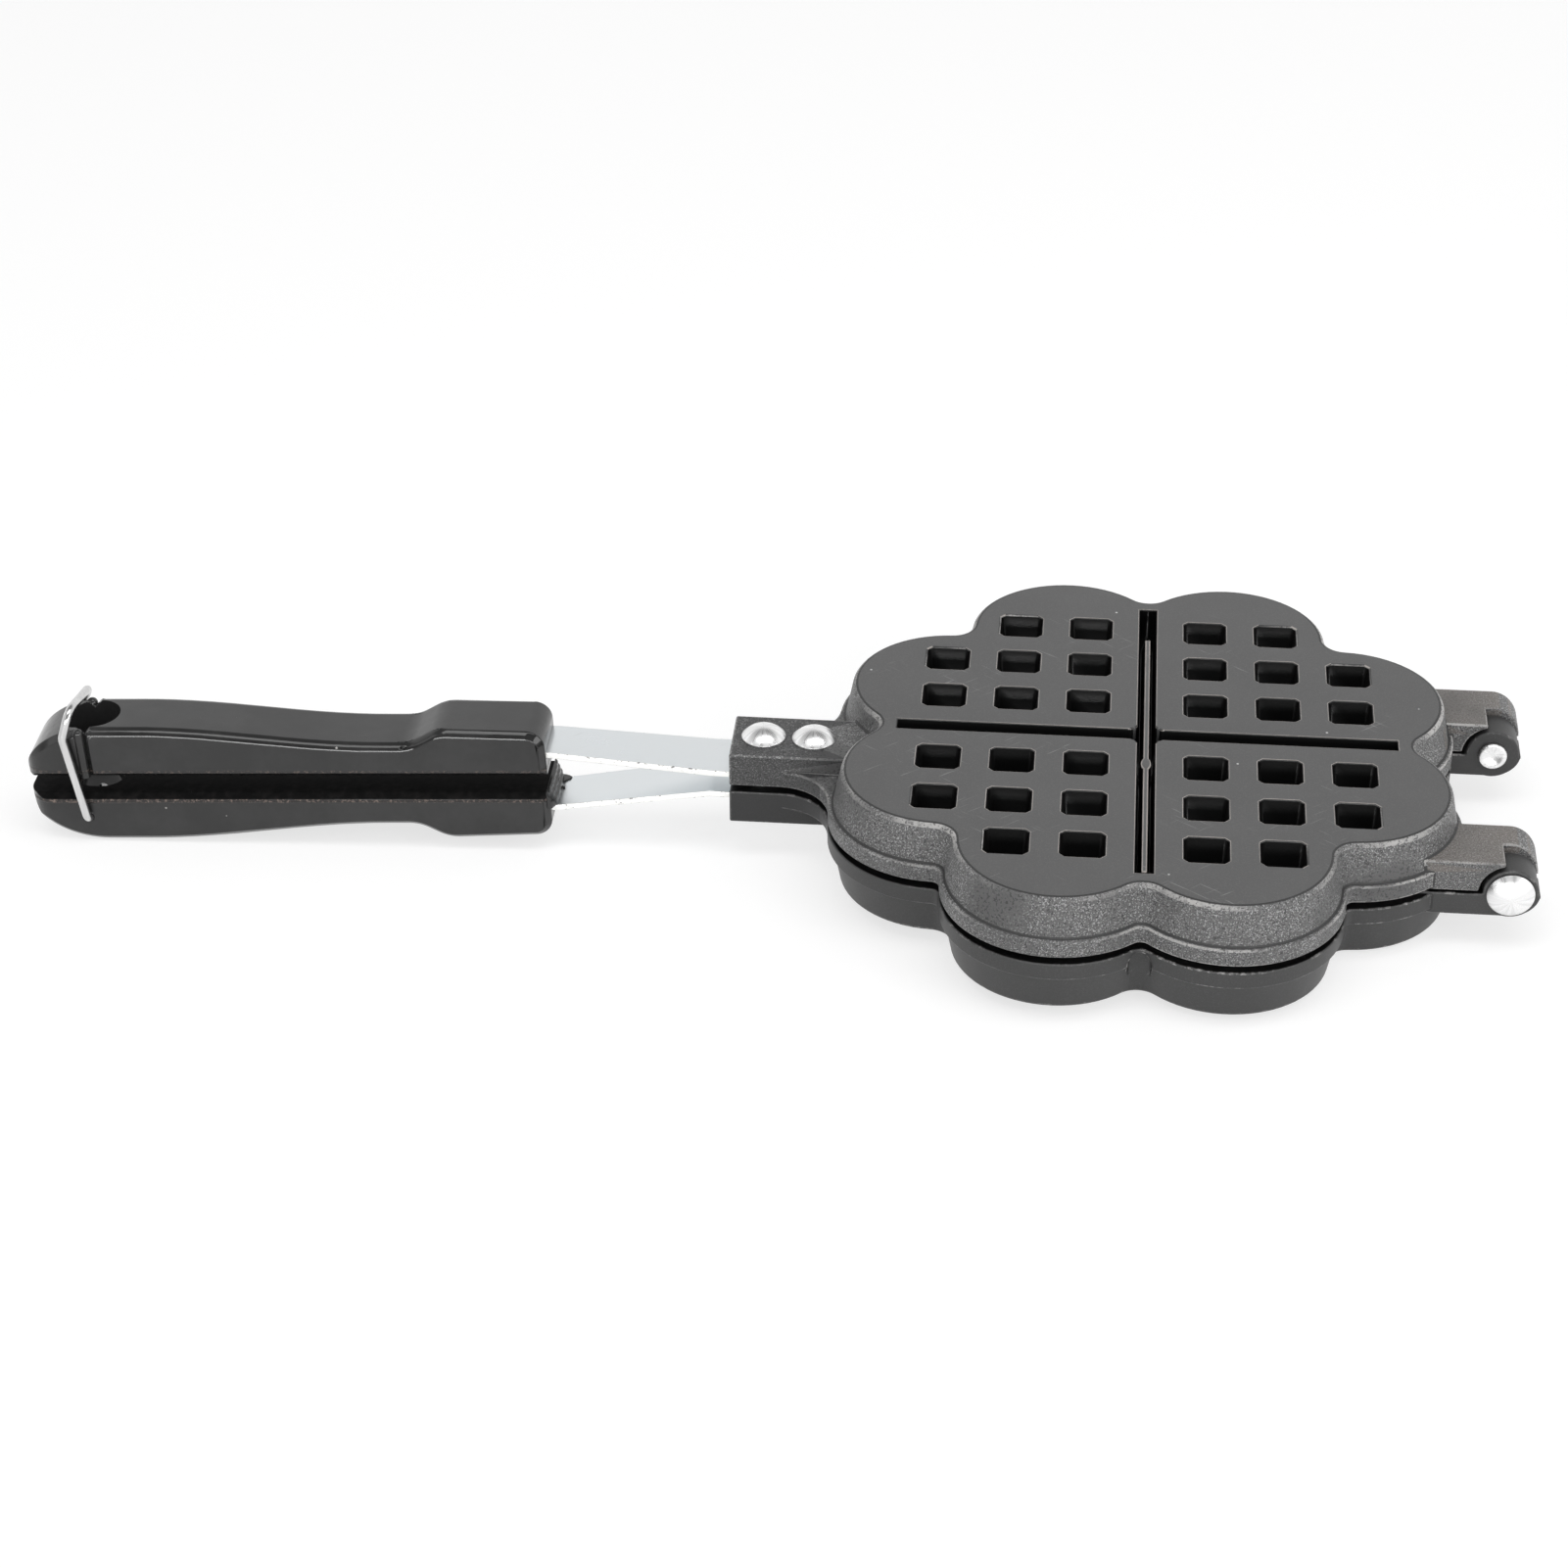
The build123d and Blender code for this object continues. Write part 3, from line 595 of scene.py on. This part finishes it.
def casting_material(name, blasted, smooth, grain, wear):
    """Coated cast aluminium: blasted outside, smooth on its back, black in its hollows, with
    painted shade deepening that black.

    grain is how strongly the blasted grain shows, wear how far the edges are rubbed.
    """
    material, tree, shader = new_material(name, blasted, 0.5)
    grains = node(tree, "ShaderNodeGroup", node_tree=grain_group).outputs
    worn = node(tree, "ShaderNodeGroup", node_tree=wear_group, Amount=wear).outputs["Mask"]
    marks = node(tree, "ShaderNodeGroup", node_tree=marks_group).outputs
    back, hollow, rim = (face_mark(tree, mark) for mark in ("back", "hollow", "rim"))
    clouds = grains["Clouds"]

    def shade(colour, share):
        return tuple(share * part for part in colour)

    pitted = times(tree, grains["Pits"], 0.8 * grain)
    sparkling = times(tree, grains["Sparkles"], grain)
    sandy = layered(
        tree, mix_colour,
        mix_colour(tree, clouds, shade(blasted, 0.8), shade(blasted, 1.1)),
        (pitted, shade(blasted, 0.25)),
        # Painted glints: bright specks in the colour where the blasted grain would catch light.
        (times(tree, sparkling, threshold(tree, clouds, 0.3, 0.56)), shade(blasted, 3.5)),
        (times(tree, times(tree, face_mark(tree, "ear"), clouds), 0.8), EAR_STAIN),
        # Painted shade: the socket end of the casting darkened, as it gets less light.
        (times(tree, face_mark(tree, "socket"), 0.6), SOCKET_PAINTED_SHADE),
    )
    flat = layered(
        tree, mix_colour,
        mix_colour(tree, clouds, shade(smooth, 0.86), shade(smooth, 1.1)),
        # Faint painted glints on the smooth back.
        (times(tree, grains["Sparkles"], 0.12), shade(smooth, 3.0)),
        (times(tree, marks["Scratches"], 0.5), SCUFF),
        (marks["Dots"], CHIP),
    )
    coat = layered(
        # The hollows' black coat, deepened with painted shade.
        tree, mix_colour, sandy, (back, flat), (hollow, HOLLOW_BLACK_AND_SHADE),
        # Painted shade: inward rounded edges darkened to a third of the blasted colour.
        (face_mark(tree, "crease"), shade(blasted, 0.3)),
        # Painted shade along the rim's shoulder.
        (face_mark(tree, "shoulder"), shade(smooth, 0.35)),
    )
    colour = layered(
        tree, mix_colour, coat, (worn, BARE_METAL), (pitted, coat),
        # Pocket rims: rubbed coat, made brighter still as a painted highlight round the pockets'
        # mouths.
        (times(tree, times(tree, rim, clouds), 1.6), RIM_WEAR_AND_HIGHLIGHT),
    )
    roughness = layered(tree, mix_number, 0.46, (back, 0.4), (hollow, 0.3), (rim, 0.2))
    strength = layered(
        tree, mix_number, grain, (back, 0.05), (face_mark(tree, "socket"), 0.4 * grain),
        (hollow, 0.12),
    )
    height = times(tree, grains["Height"], strength)
    finish_surface(tree, shader, colour, roughness, height, 0.22 * MM)
    return material


plate_looks = {
    "upper_plate": casting_material("blasted_casting", (0.125,) * 3, (0.086,) * 3, 1.0, 0.55),
    # The lower plate's darker colour is partly painted shade: its walls face down, away from the
    # lamps above. Its smoother grain is its own.
    "lower_plate": casting_material("smooth_shaded_casting", (0.046,) * 3, (0.05,) * 3, 0.12, 0.38),
}
for cad_name, base in (("upper_plate", PLATES_TOP), ("lower_plate", 0.0)):
    casting = merged_copy(cad_name, cad_name.replace("plate", "casting"))
    round_edges(casting, casting_widths(base))
    mark_casting(casting.data, base)
    casting.data.materials.append(plate_looks[cad_name])
    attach(casting, cad_name.split("_")[0])
    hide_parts(cad_name)

# ------------------------------------------------------------------ rivets
# Soft aluminium rivets.  Domed heads outside, turned and lightly burnished; the
# tails are spread by a punch, which leaves a cone in the two hinge rivets.
HEAD_SEAT = 5.7 * MM
SOCKET_RIVETS = {"1": -94.7 * MM, "2": -82.1 * MM}
SOCKET_HEAD = (5.5, 3.0)
SOCKET_SHANK = [(2.5, 0.0), (2.5, -7.8), (3.6, -8.9), (0.0, -8.9)]
HINGE_X = 87.5 * MM
HINGE_SEAT = 40.15 * MM
HINGE_HEAD = (5.7, 2.8)
HINGE_SHANK = [
    (3.0, 0.0), (3.0, -17.5), (3.45, -17.5), (3.6, -17.75), (3.5, -18.4), (3.2, -18.6),
    (2.5, -18.6), (2.2, -18.45), (0.9, -17.95), (0.0, -17.85),
]
HEAD_EDGE = 0.4


def domed_head(radius, height):
    """Profile (radius, height) of a head: a round dome, a rounded rim and a flat seat.

    Dome: the circle through the crown, level there, and through the rim.
    """
    sag = height - HEAD_EDGE
    ball = (radius**2 + sag**2) / (2 * sag)
    across = radius * np.sin(np.linspace(0, np.pi / 2, 20))
    dome = np.column_stack([across, height - ball + np.sqrt(ball**2 - across**2)])
    corner = [(radius, 0.15), (radius - 0.1, 0.03), (radius - 0.25, 0.0)]
    return np.vstack([dome, corner])


def turned(name, profile, seat, outward, steps=96):
    """A closed surface of revolution, its profile given in millimetres from crown to tail.

    Point = seat + height * outward + radius * (cos(turn) * X + sin(turn) * across), where
    across is at right angles to outward and to X.
    The point attribute "turning" holds (cos(turn), sin(turn), radius in millimetres).
    """
    outward, side = np.array(outward, float), np.array([1.0, 0.0, 0.0])
    across = np.cross(outward, side)
    turn = np.linspace(0, 2 * np.pi, steps, endpoint=False)
    radius, height = profile[1:-1, 0], profile[1:-1, 1]
    ring = np.cos(turn)[:, None] * side + np.sin(turn)[:, None] * across
    rings = radius[:, None, None] * ring + (height[:, None] * outward)[:, None, :]
    ends = profile[[0, -1], 1][:, None] * outward
    points = np.vstack([ends, rings.reshape(-1, 3)]) * MM + np.array(seat)
    grid = 2 + np.arange(len(radius) * steps).reshape(len(radius), steps)
    after = np.roll(grid, -1, axis=1)
    sheets = np.stack([grid[:-1], grid[1:], after[1:], after[:-1]], axis=-1).reshape(-1, 4)
    crown = np.column_stack([np.zeros(steps, int), grid[0], after[0]])
    tail = np.column_stack([np.ones(steps, int), after[-1], grid[-1]])
    mesh = bpy.data.meshes.new(name)
    mesh.from_pydata(points.tolist(), [], sheets.tolist() + crown.tolist() + tail.tolist())
    mesh.shade_smooth()
    spin = np.column_stack([np.cos(turn), np.sin(turn)])
    marks = np.concatenate(
        [np.tile(spin, (len(radius), 1)), np.repeat(radius, steps)[:, None]], axis=1
    )
    layer = mesh.attributes.new("turning", "FLOAT_VECTOR", "POINT")
    layer.data.foreach_set("vector", np.vstack([np.zeros((2, 3)), marks]).ravel())
    piece = bpy.data.objects.new(name, mesh)
    bpy.context.collection.objects.link(piece)
    return piece


def burnished_material(name, colour, roughness):
    """Turned soft aluminium: fine rings, small dents, and radial streaks of roughness that also
    darken the colour as painted reflection.
    """
    material, tree, shader = new_material(name, colour, roughness, 1.0)
    turning = node(tree, "ShaderNodeSeparateXYZ")
    mark = node(tree, "ShaderNodeAttribute", attribute_name="turning").outputs["Vector"]
    feed(tree, mark, turning.inputs[0])
    round_place = node(tree, "ShaderNodeCombineXYZ")
    feed(tree, turning.outputs["X"], round_place.inputs["X"])
    feed(tree, turning.outputs["Y"], round_place.inputs["Y"])
    out_place = node(tree, "ShaderNodeCombineXYZ")
    feed(tree, turning.outputs["Z"], out_place.inputs["X"])
    radial_streaks = noise(tree, round_place.outputs[0], 3.2, 3.0)
    rings = noise(tree, out_place.outputs[0], 9.0, 2.0)
    dents = noise(tree, object_place(tree), 520.0, 2.0)
    streaked = threshold(tree, radial_streaks, 0.42, 0.6)
    # Painted reflection: darker radial streaks in the colour, for the broken highlights of a
    # burnished dome.
    tone = mix_colour(tree, streaked, tuple(0.88 * part for part in colour), colour)
    gloss = mix_number(tree, streaked, roughness + 0.12, roughness)
    height = arithmetic(tree, "ADD", times(tree, rings, 0.12), times(tree, dents, 0.05))
    height = arithmetic(tree, "ADD", height, times(tree, radial_streaks, 0.02))
    finish_surface(tree, shader, tone, gloss, height, 0.12 * MM)
    return material


rivet_metal = burnished_material("burnished_aluminium", (0.93, 0.93, 0.93), 0.26)
rivets = {}
for body, way in (("lower", -1), ("upper", 1)):
    for number, x in SOCKET_RIVETS.items():
        profile = np.vstack([domed_head(*SOCKET_HEAD), SOCKET_SHANK])
        seat = (x, 0, PARTING + way * (PARTING - HEAD_SEAT))
        rivets[f"{body}_socket_rivet_{number}"] = (body, profile, seat, (0, 0, way))
for end, way in (("near", -1), ("far", 1)):
    profile = np.vstack([domed_head(*HINGE_HEAD), HINGE_SHANK])
    seat = (HINGE_X, way * HINGE_SEAT, PARTING)
    rivets[f"{end}_hinge_rivet"] = ("lower", profile, seat, (0, way, 0))
for cad_name, (body, profile, seat, outward) in rivets.items():
    rivet = turned(cad_name + "_turned", profile, seat, outward)
    rivet.data.materials.append(rivet_metal)
    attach(rivet, body)
    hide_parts(cad_name)

# ------------------------------------------------------------------ straps
# Bright zinc-plated spring steel, sheared from sheet: flat faces with a faint
# rolled grain, and torn edges where the plating is specked and broken.
STRAP_EDGE = 0.22 * MM
SHEARED_BEND = math.radians(50)
SHEARED_SIDE = 0.8             # least sideways part of a sheared face's normal
ROLLED_GRAINS = (25, 2200, 2200)


def strap_material():
    """Plated strip: long rolling lines, a few handling marks, specks on its sheared edges."""
    material, tree, shader = new_material("plated_strip", (0.71, 0.74, 0.76), 0.3, 1.0)
    place = object_place(tree)
    rolled = noise(tree, drawn_out(tree, place, ROLLED_GRAINS), 1.0, 3.0)
    cloud = noise(tree, place, 70.0, 3.0)
    torn = noise(tree, place, 900.0, 4.0, 0.75)
    marks = node(tree, "ShaderNodeGroup", node_tree=marks_group).outputs
    edge, sheared = face_mark(tree, "edge"), face_mark(tree, "sheared")
    edges = arithmetic(tree, "MAXIMUM", edge, sheared)
    broken = times(tree, threshold(tree, torn, 0.56, 0.64), edge)
    speck = times(tree, threshold(tree, torn, 0.62, 0.7), sheared)
    colour = layered(
        tree, mix_colour,
        mix_colour(tree, cloud, (0.73, 0.765, 0.785), (0.795, 0.82, 0.83)),
        (times(tree, marks["Scratches"], 0.3), (0.5, 0.5, 0.5)),
        (edges, (0.9, 0.9, 0.88)),
        (arithmetic(tree, "MAXIMUM", broken, speck), (0.12, 0.115, 0.11)),
    )
    roughness = mix_number(tree, edges, mix_number(tree, cloud, 0.24, 0.34), 0.5)
    height = arithmetic(tree, "ADD", times(tree, rolled, 0.12), times(tree, torn, edges))
    finish_surface(tree, shader, colour, roughness, height, 0.2 * MM)
    return material


strap_metal = strap_material()
for cad_name in ("upper_strap", "lower_strap"):
    strip = merged_copy(cad_name, cad_name + "_strip")
    round_edges(strip, lambda middles: np.full(len(middles), STRAP_EDGE), sharp=SHEARED_BEND)
    sheared = np.abs(face_middles(strip.data)[1][:, 1]) > SHEARED_SIDE
    write_marks(strip.data, sheared=sheared)
    strip.data.materials.append(strap_metal)
    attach(strip, cad_name.split("_")[0])
    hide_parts(cad_name)

# ------------------------------------------------------------------ grips
# Black phenolic mouldings, hot-pressed round the straps and left glossy.  A
# rough brown line of trimmed flash runs along the edges that face each other.
HANDLE_X = -105.0 * MM
RAKE = math.radians(3.15)
GRIP_EDGE = 1.0 * MM
FINE_EDGE = 0.25 * MM
CROWDED_EDGE = 0.08 * MM
FRONT_RUN = 49 * MM
GROOVE_RUNS = (158.55 * MM, 163.1 * MM)
HOLE_RUNS = (145 * MM, 170 * MM)
HOLE_HALF = 6.6 * MM
INNER_RISE = 3.8 * MM
TOP_RISE = 8 * MM              # above these the upper grip's top is widely rounded
TOP_ACROSS = 6.5 * MM
GROOVE_FOOT = -12 * MM
FLASH_RISE = 4.3 * MM
FLASH_NEAR, FLASH_FAR = 0.5 * MM, 0.85 * MM


def along_handle(run, rise):
    """X and Z of points so far along the drooping handle axis and above it."""
    return (
        HANDLE_X - run * math.cos(RAKE) - rise * math.sin(RAKE),
        PARTING - run * math.sin(RAKE) + rise * math.cos(RAKE),
    )


def in_handle(points):
    """Run and rise of points: the two distances along and above the handle axis."""
    x, z = points[:, 0] - HANDLE_X, points[:, 2] - PARTING
    return (
        -x * math.cos(RAKE) - z * math.sin(RAKE),
        -x * math.sin(RAKE) + z * math.cos(RAKE),
    )


def grip_widths(middles):
    """Wide rounding along the upper grip's top, fine elsewhere, least at the hole and groove."""
    run, rise = in_handle(middles)
    across = np.abs(middles[:, 1])
    outer = (rise > TOP_RISE) & (across > TOP_ACROSS)
    groove = (run > GROOVE_RUNS[0]) & (run < GROOVE_RUNS[1]) & (rise > GROOVE_FOOT)
    hole = (run > HOLE_RUNS[0]) & (run < HOLE_RUNS[1]) & (across < HOLE_HALF)
    width = np.where(outer & (run > FRONT_RUN) & (run < GROOVE_RUNS[0]), GRIP_EDGE, FINE_EDGE)
    width[groove | hole] = CROWDED_EDGE
    return width


def phenolic_material():
    """Glossy black moulding: faint swirls and smudges, dust, and brown rough flash.

    The flash lies where the distance from the handle axis, the dot product with the
    axis's upward direction, is about FLASH_RISE.
    """
    material, tree, shader = new_material("black_phenolic", (0.027, 0.027, 0.027), 0.2)
    place = object_place(tree)
    smudge = noise(tree, place, 60.0, 4.0, 0.6)
    ripple = noise(tree, place, 180.0, 2.0)
    ragged = noise(tree, place, 900.0, 4.0, 0.75)
    marks = node(tree, "ShaderNodeGroup", node_tree=marks_group).outputs
    upward = node(tree, "ShaderNodeVectorMath", operation="DOT_PRODUCT")
    upward.inputs[1].default_value = (-math.sin(RAKE), 0, math.cos(RAKE))
    feed(tree, place, upward.inputs[0])
    axis = PARTING * math.cos(RAKE) - HANDLE_X * math.sin(RAKE)
    rise = arithmetic(tree, "SUBTRACT", upward.outputs["Value"], axis)
    beside = arithmetic(tree, "SUBTRACT", arithmetic(tree, "ABSOLUTE", rise), FLASH_RISE)
    beside = arithmetic(tree, "ABSOLUTE", beside)
    beside = arithmetic(tree, "ADD", times(tree, smudge, FLASH_NEAR), beside)
    flash = threshold(tree, beside, FLASH_FAR, FLASH_NEAR)
    flash = times(tree, flash, face_mark(tree, "flash"))
    swirls = threshold(tree, smudge, 0.35, 0.7)
    colour = layered(
        tree, mix_colour,
        mix_colour(tree, swirls, (0.022, 0.022, 0.022), (0.034, 0.034, 0.034)),
        (marks["Dots"], (0.45, 0.44, 0.42)),
        (flash, (0.012, 0.008, 0.007)),
        (times(tree, flash, threshold(tree, ragged, 0.5, 0.62)), (0.24, 0.18, 0.15)),
    )
    gloss = mix_number(tree, threshold(tree, smudge, 0.4, 0.65), 0.07, 0.17)
    gloss = arithmetic(tree, "ADD", gloss, times(tree, marks["Scratches"], 0.1))
    gloss = mix_number(tree, flash, gloss, 0.5)
    height = arithmetic(tree, "ADD", times(tree, ripple, 0.25), times(tree, ragged, flash))
    finish_surface(tree, shader, colour, gloss, height, 0.25 * MM)
    return material


def shaded_phenolic_material():
    """The faces that meet between the grips: a mottled dull black, painted shade for the dark gap
    between them.
    """
    material, tree, shader = new_material("shaded_phenolic", (0.003, 0.003, 0.003), 0.6)
    shader.inputs["Specular IOR Level"].default_value = 0.08
    mottle = noise(tree, object_place(tree), 400.0, 4.0, 0.6)
    spots = threshold(tree, mottle, 0.4, 0.7)
    colour = mix_colour(tree, spots, (0.002, 0.002, 0.002), (0.009, 0.008, 0.008))
    finish_surface(tree, shader, colour, 0.6, mottle, 0.1 * MM)
    return material


phenolic = phenolic_material()
shaded_phenolic = shaded_phenolic_material()
for cad_name, flash in (("upper_grip", 0.35), ("lower_grip", 1.0)):
    grip = merged_copy(cad_name, cad_name + "_moulding")
    round_edges(grip, grip_widths, segments=4)
    rise = np.abs(in_handle(face_middles(grip.data)[0])[1])
    # Inner faces, in the gap between the grips, get the near-black material: painted shade.
    inner = rise < INNER_RISE
    write_marks(grip.data, flash=np.full(len(rise), flash))
    grip.data.materials.append(phenolic)
    grip.data.materials.append(shaded_phenolic)
    grip.data.polygons.foreach_set("material_index", inner.astype(np.int32))
    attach(grip, cad_name.split("_")[0])
    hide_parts(cad_name)

# Flash at the front of the lower grip: material squeezed out over the strap in
# three thin ledges, with a torn spike that lies on the plated face.
LEDGES = [  # run and rise of the ledges' front, from the inner face down to the strap
    (44.0, -2.35), (43.3, -2.4), (42.95, -2.6), (42.85, -3.3), (42.5, -3.6), (42.25, -3.75),
    (42.15, -4.6), (41.75, -4.9), (41.55, -5.1), (41.45, -6.2), (41.6, -6.95), (44.0, -6.95),
]
LEDGE_ROOT = 44.0
LEDGE_HALF = 8.3
LEDGE_STEPS = 25
LEDGE_FRONT = 43.5
SPIKE = [  # run and y of the spike's rim, seen from above
    (43.0, 8.0), (41.3, 7.6), (40.3, 7.1), (39.6, 6.5), (39.5, 5.8), (39.9, 5.2), (40.9, 4.6),
    (41.7, 3.6), (42.0, 2.6), (41.6, 1.6), (40.9, 1.2), (40.7, 0.5), (41.4, 0.7), (42.2, 0.2),
    (43.0, -1.0),
]
SPIKE_LEVELS = [(-7.0, 0.0), (-6.75, 0.0), (-6.5, 0.12), (-6.4, 0.35)]


def stacked(name, loops):
    """A closed piece skinned over equal loops of points, with its two end loops filled."""
    count, size = loops.shape[:2]
    grid = np.arange(count * size).reshape(count, size)
    after = np.roll(grid, -1, axis=1)
    sheets = np.stack([grid[:-1], after[:-1], after[1:], grid[1:]], axis=-1).reshape(-1, 4)
    mesh = bpy.data.meshes.new(name)
    mesh.from_pydata(
        loops.reshape(-1, 3).tolist(), [],
        sheets.tolist() + [grid[0, ::-1].tolist(), grid[-1].tolist()],
    )
    shape = bmesh.new()
    shape.from_mesh(mesh)
    bmesh.ops.recalc_face_normals(shape, faces=shape.faces)
    shape.to_mesh(mesh)
    shape.free()
    piece = bpy.data.objects.new(name, mesh)
    bpy.context.collection.objects.link(piece)
    return piece


def ledge_loops():
    """The ledges' profile repeated across the strap; near the ends it draws back on a curve.

    Run = root - (root - profile) * (1/4 + 3/4 * sqrt(1 - |across / half|^3.5)), with a
    small sine of the place across added in front.
    """
    profile = np.array(LEDGES)
    across = LEDGE_HALF * np.sin(np.linspace(-np.pi / 2, np.pi / 2, LEDGE_STEPS))
    bulge = np.sqrt(1 - np.abs(across / LEDGE_HALF) ** 3.5)
    reach = LEDGE_ROOT - profile[None, :, 0]
    run = LEDGE_ROOT - reach * (0.25 + 0.75 * bulge[:, None])
    run += 0.08 * np.sin(across * 2.3)[:, None] * (profile[None, :, 0] < LEDGE_FRONT)
    rise = np.broadcast_to(profile[None, :, 1], run.shape)
    x, z = along_handle(run * MM, rise * MM)
    return np.stack([x, np.broadcast_to(across[:, None] * MM, x.shape), z], axis=-1)


def spike_loops():
    """The spike's rim at a few heights over the strap, drawn in towards its middle line."""
    rim = np.array(SPIKE)
    middle = rim.mean(axis=0)
    levels = np.array(SPIKE_LEVELS)
    drawn = rim[None] + (middle - rim)[None] * levels[:, 1][:, None, None] * 0.5
    x, z = along_handle(drawn[..., 0] * MM, np.broadcast_to(levels[:, :1], drawn.shape[:2]) * MM)
    return np.stack([x, drawn[..., 1] * MM, z], axis=-1)


LEDGE_EDGE = 0.12 * MM
for name, loops in (("lower_grip_ledges", ledge_loops()), ("lower_grip_spike", spike_loops())):
    squeezed = stacked(name, loops)
    round_edges(squeezed, lambda middles: np.full(len(middles), LEDGE_EDGE), segments=2)
    squeezed.data.materials.append(phenolic)
    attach(squeezed, "lower")

# ------------------------------------------------------------------ bail
# Bright plated steel wire, drawn and bent to shape.  Its two ends are sprung
# into the cross hole of the lower grip, and it arches over the upper one.
DRAWN_GRAINS = (900, 900, 60)


def wire_material():
    """Plated wire: fine drawing lines that run up its legs."""
    material, tree, shader = new_material("plated_wire", (0.78, 0.78, 0.78), 0.24, 1.0)
    lines = noise(tree, drawn_out(tree, object_place(tree), DRAWN_GRAINS), 1.0, 3.0)
    tone = mix_colour(tree, lines, (0.45, 0.45, 0.46), (0.8, 0.8, 0.79))
    gloss = mix_number(tree, lines, 0.34, 0.16)
    finish_surface(tree, shader, tone, gloss, lines, 0.03 * MM, strength=0.5)
    return material


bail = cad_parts["wire_bail"]
bail.data.materials.clear()
bail.data.materials.append(wire_material())
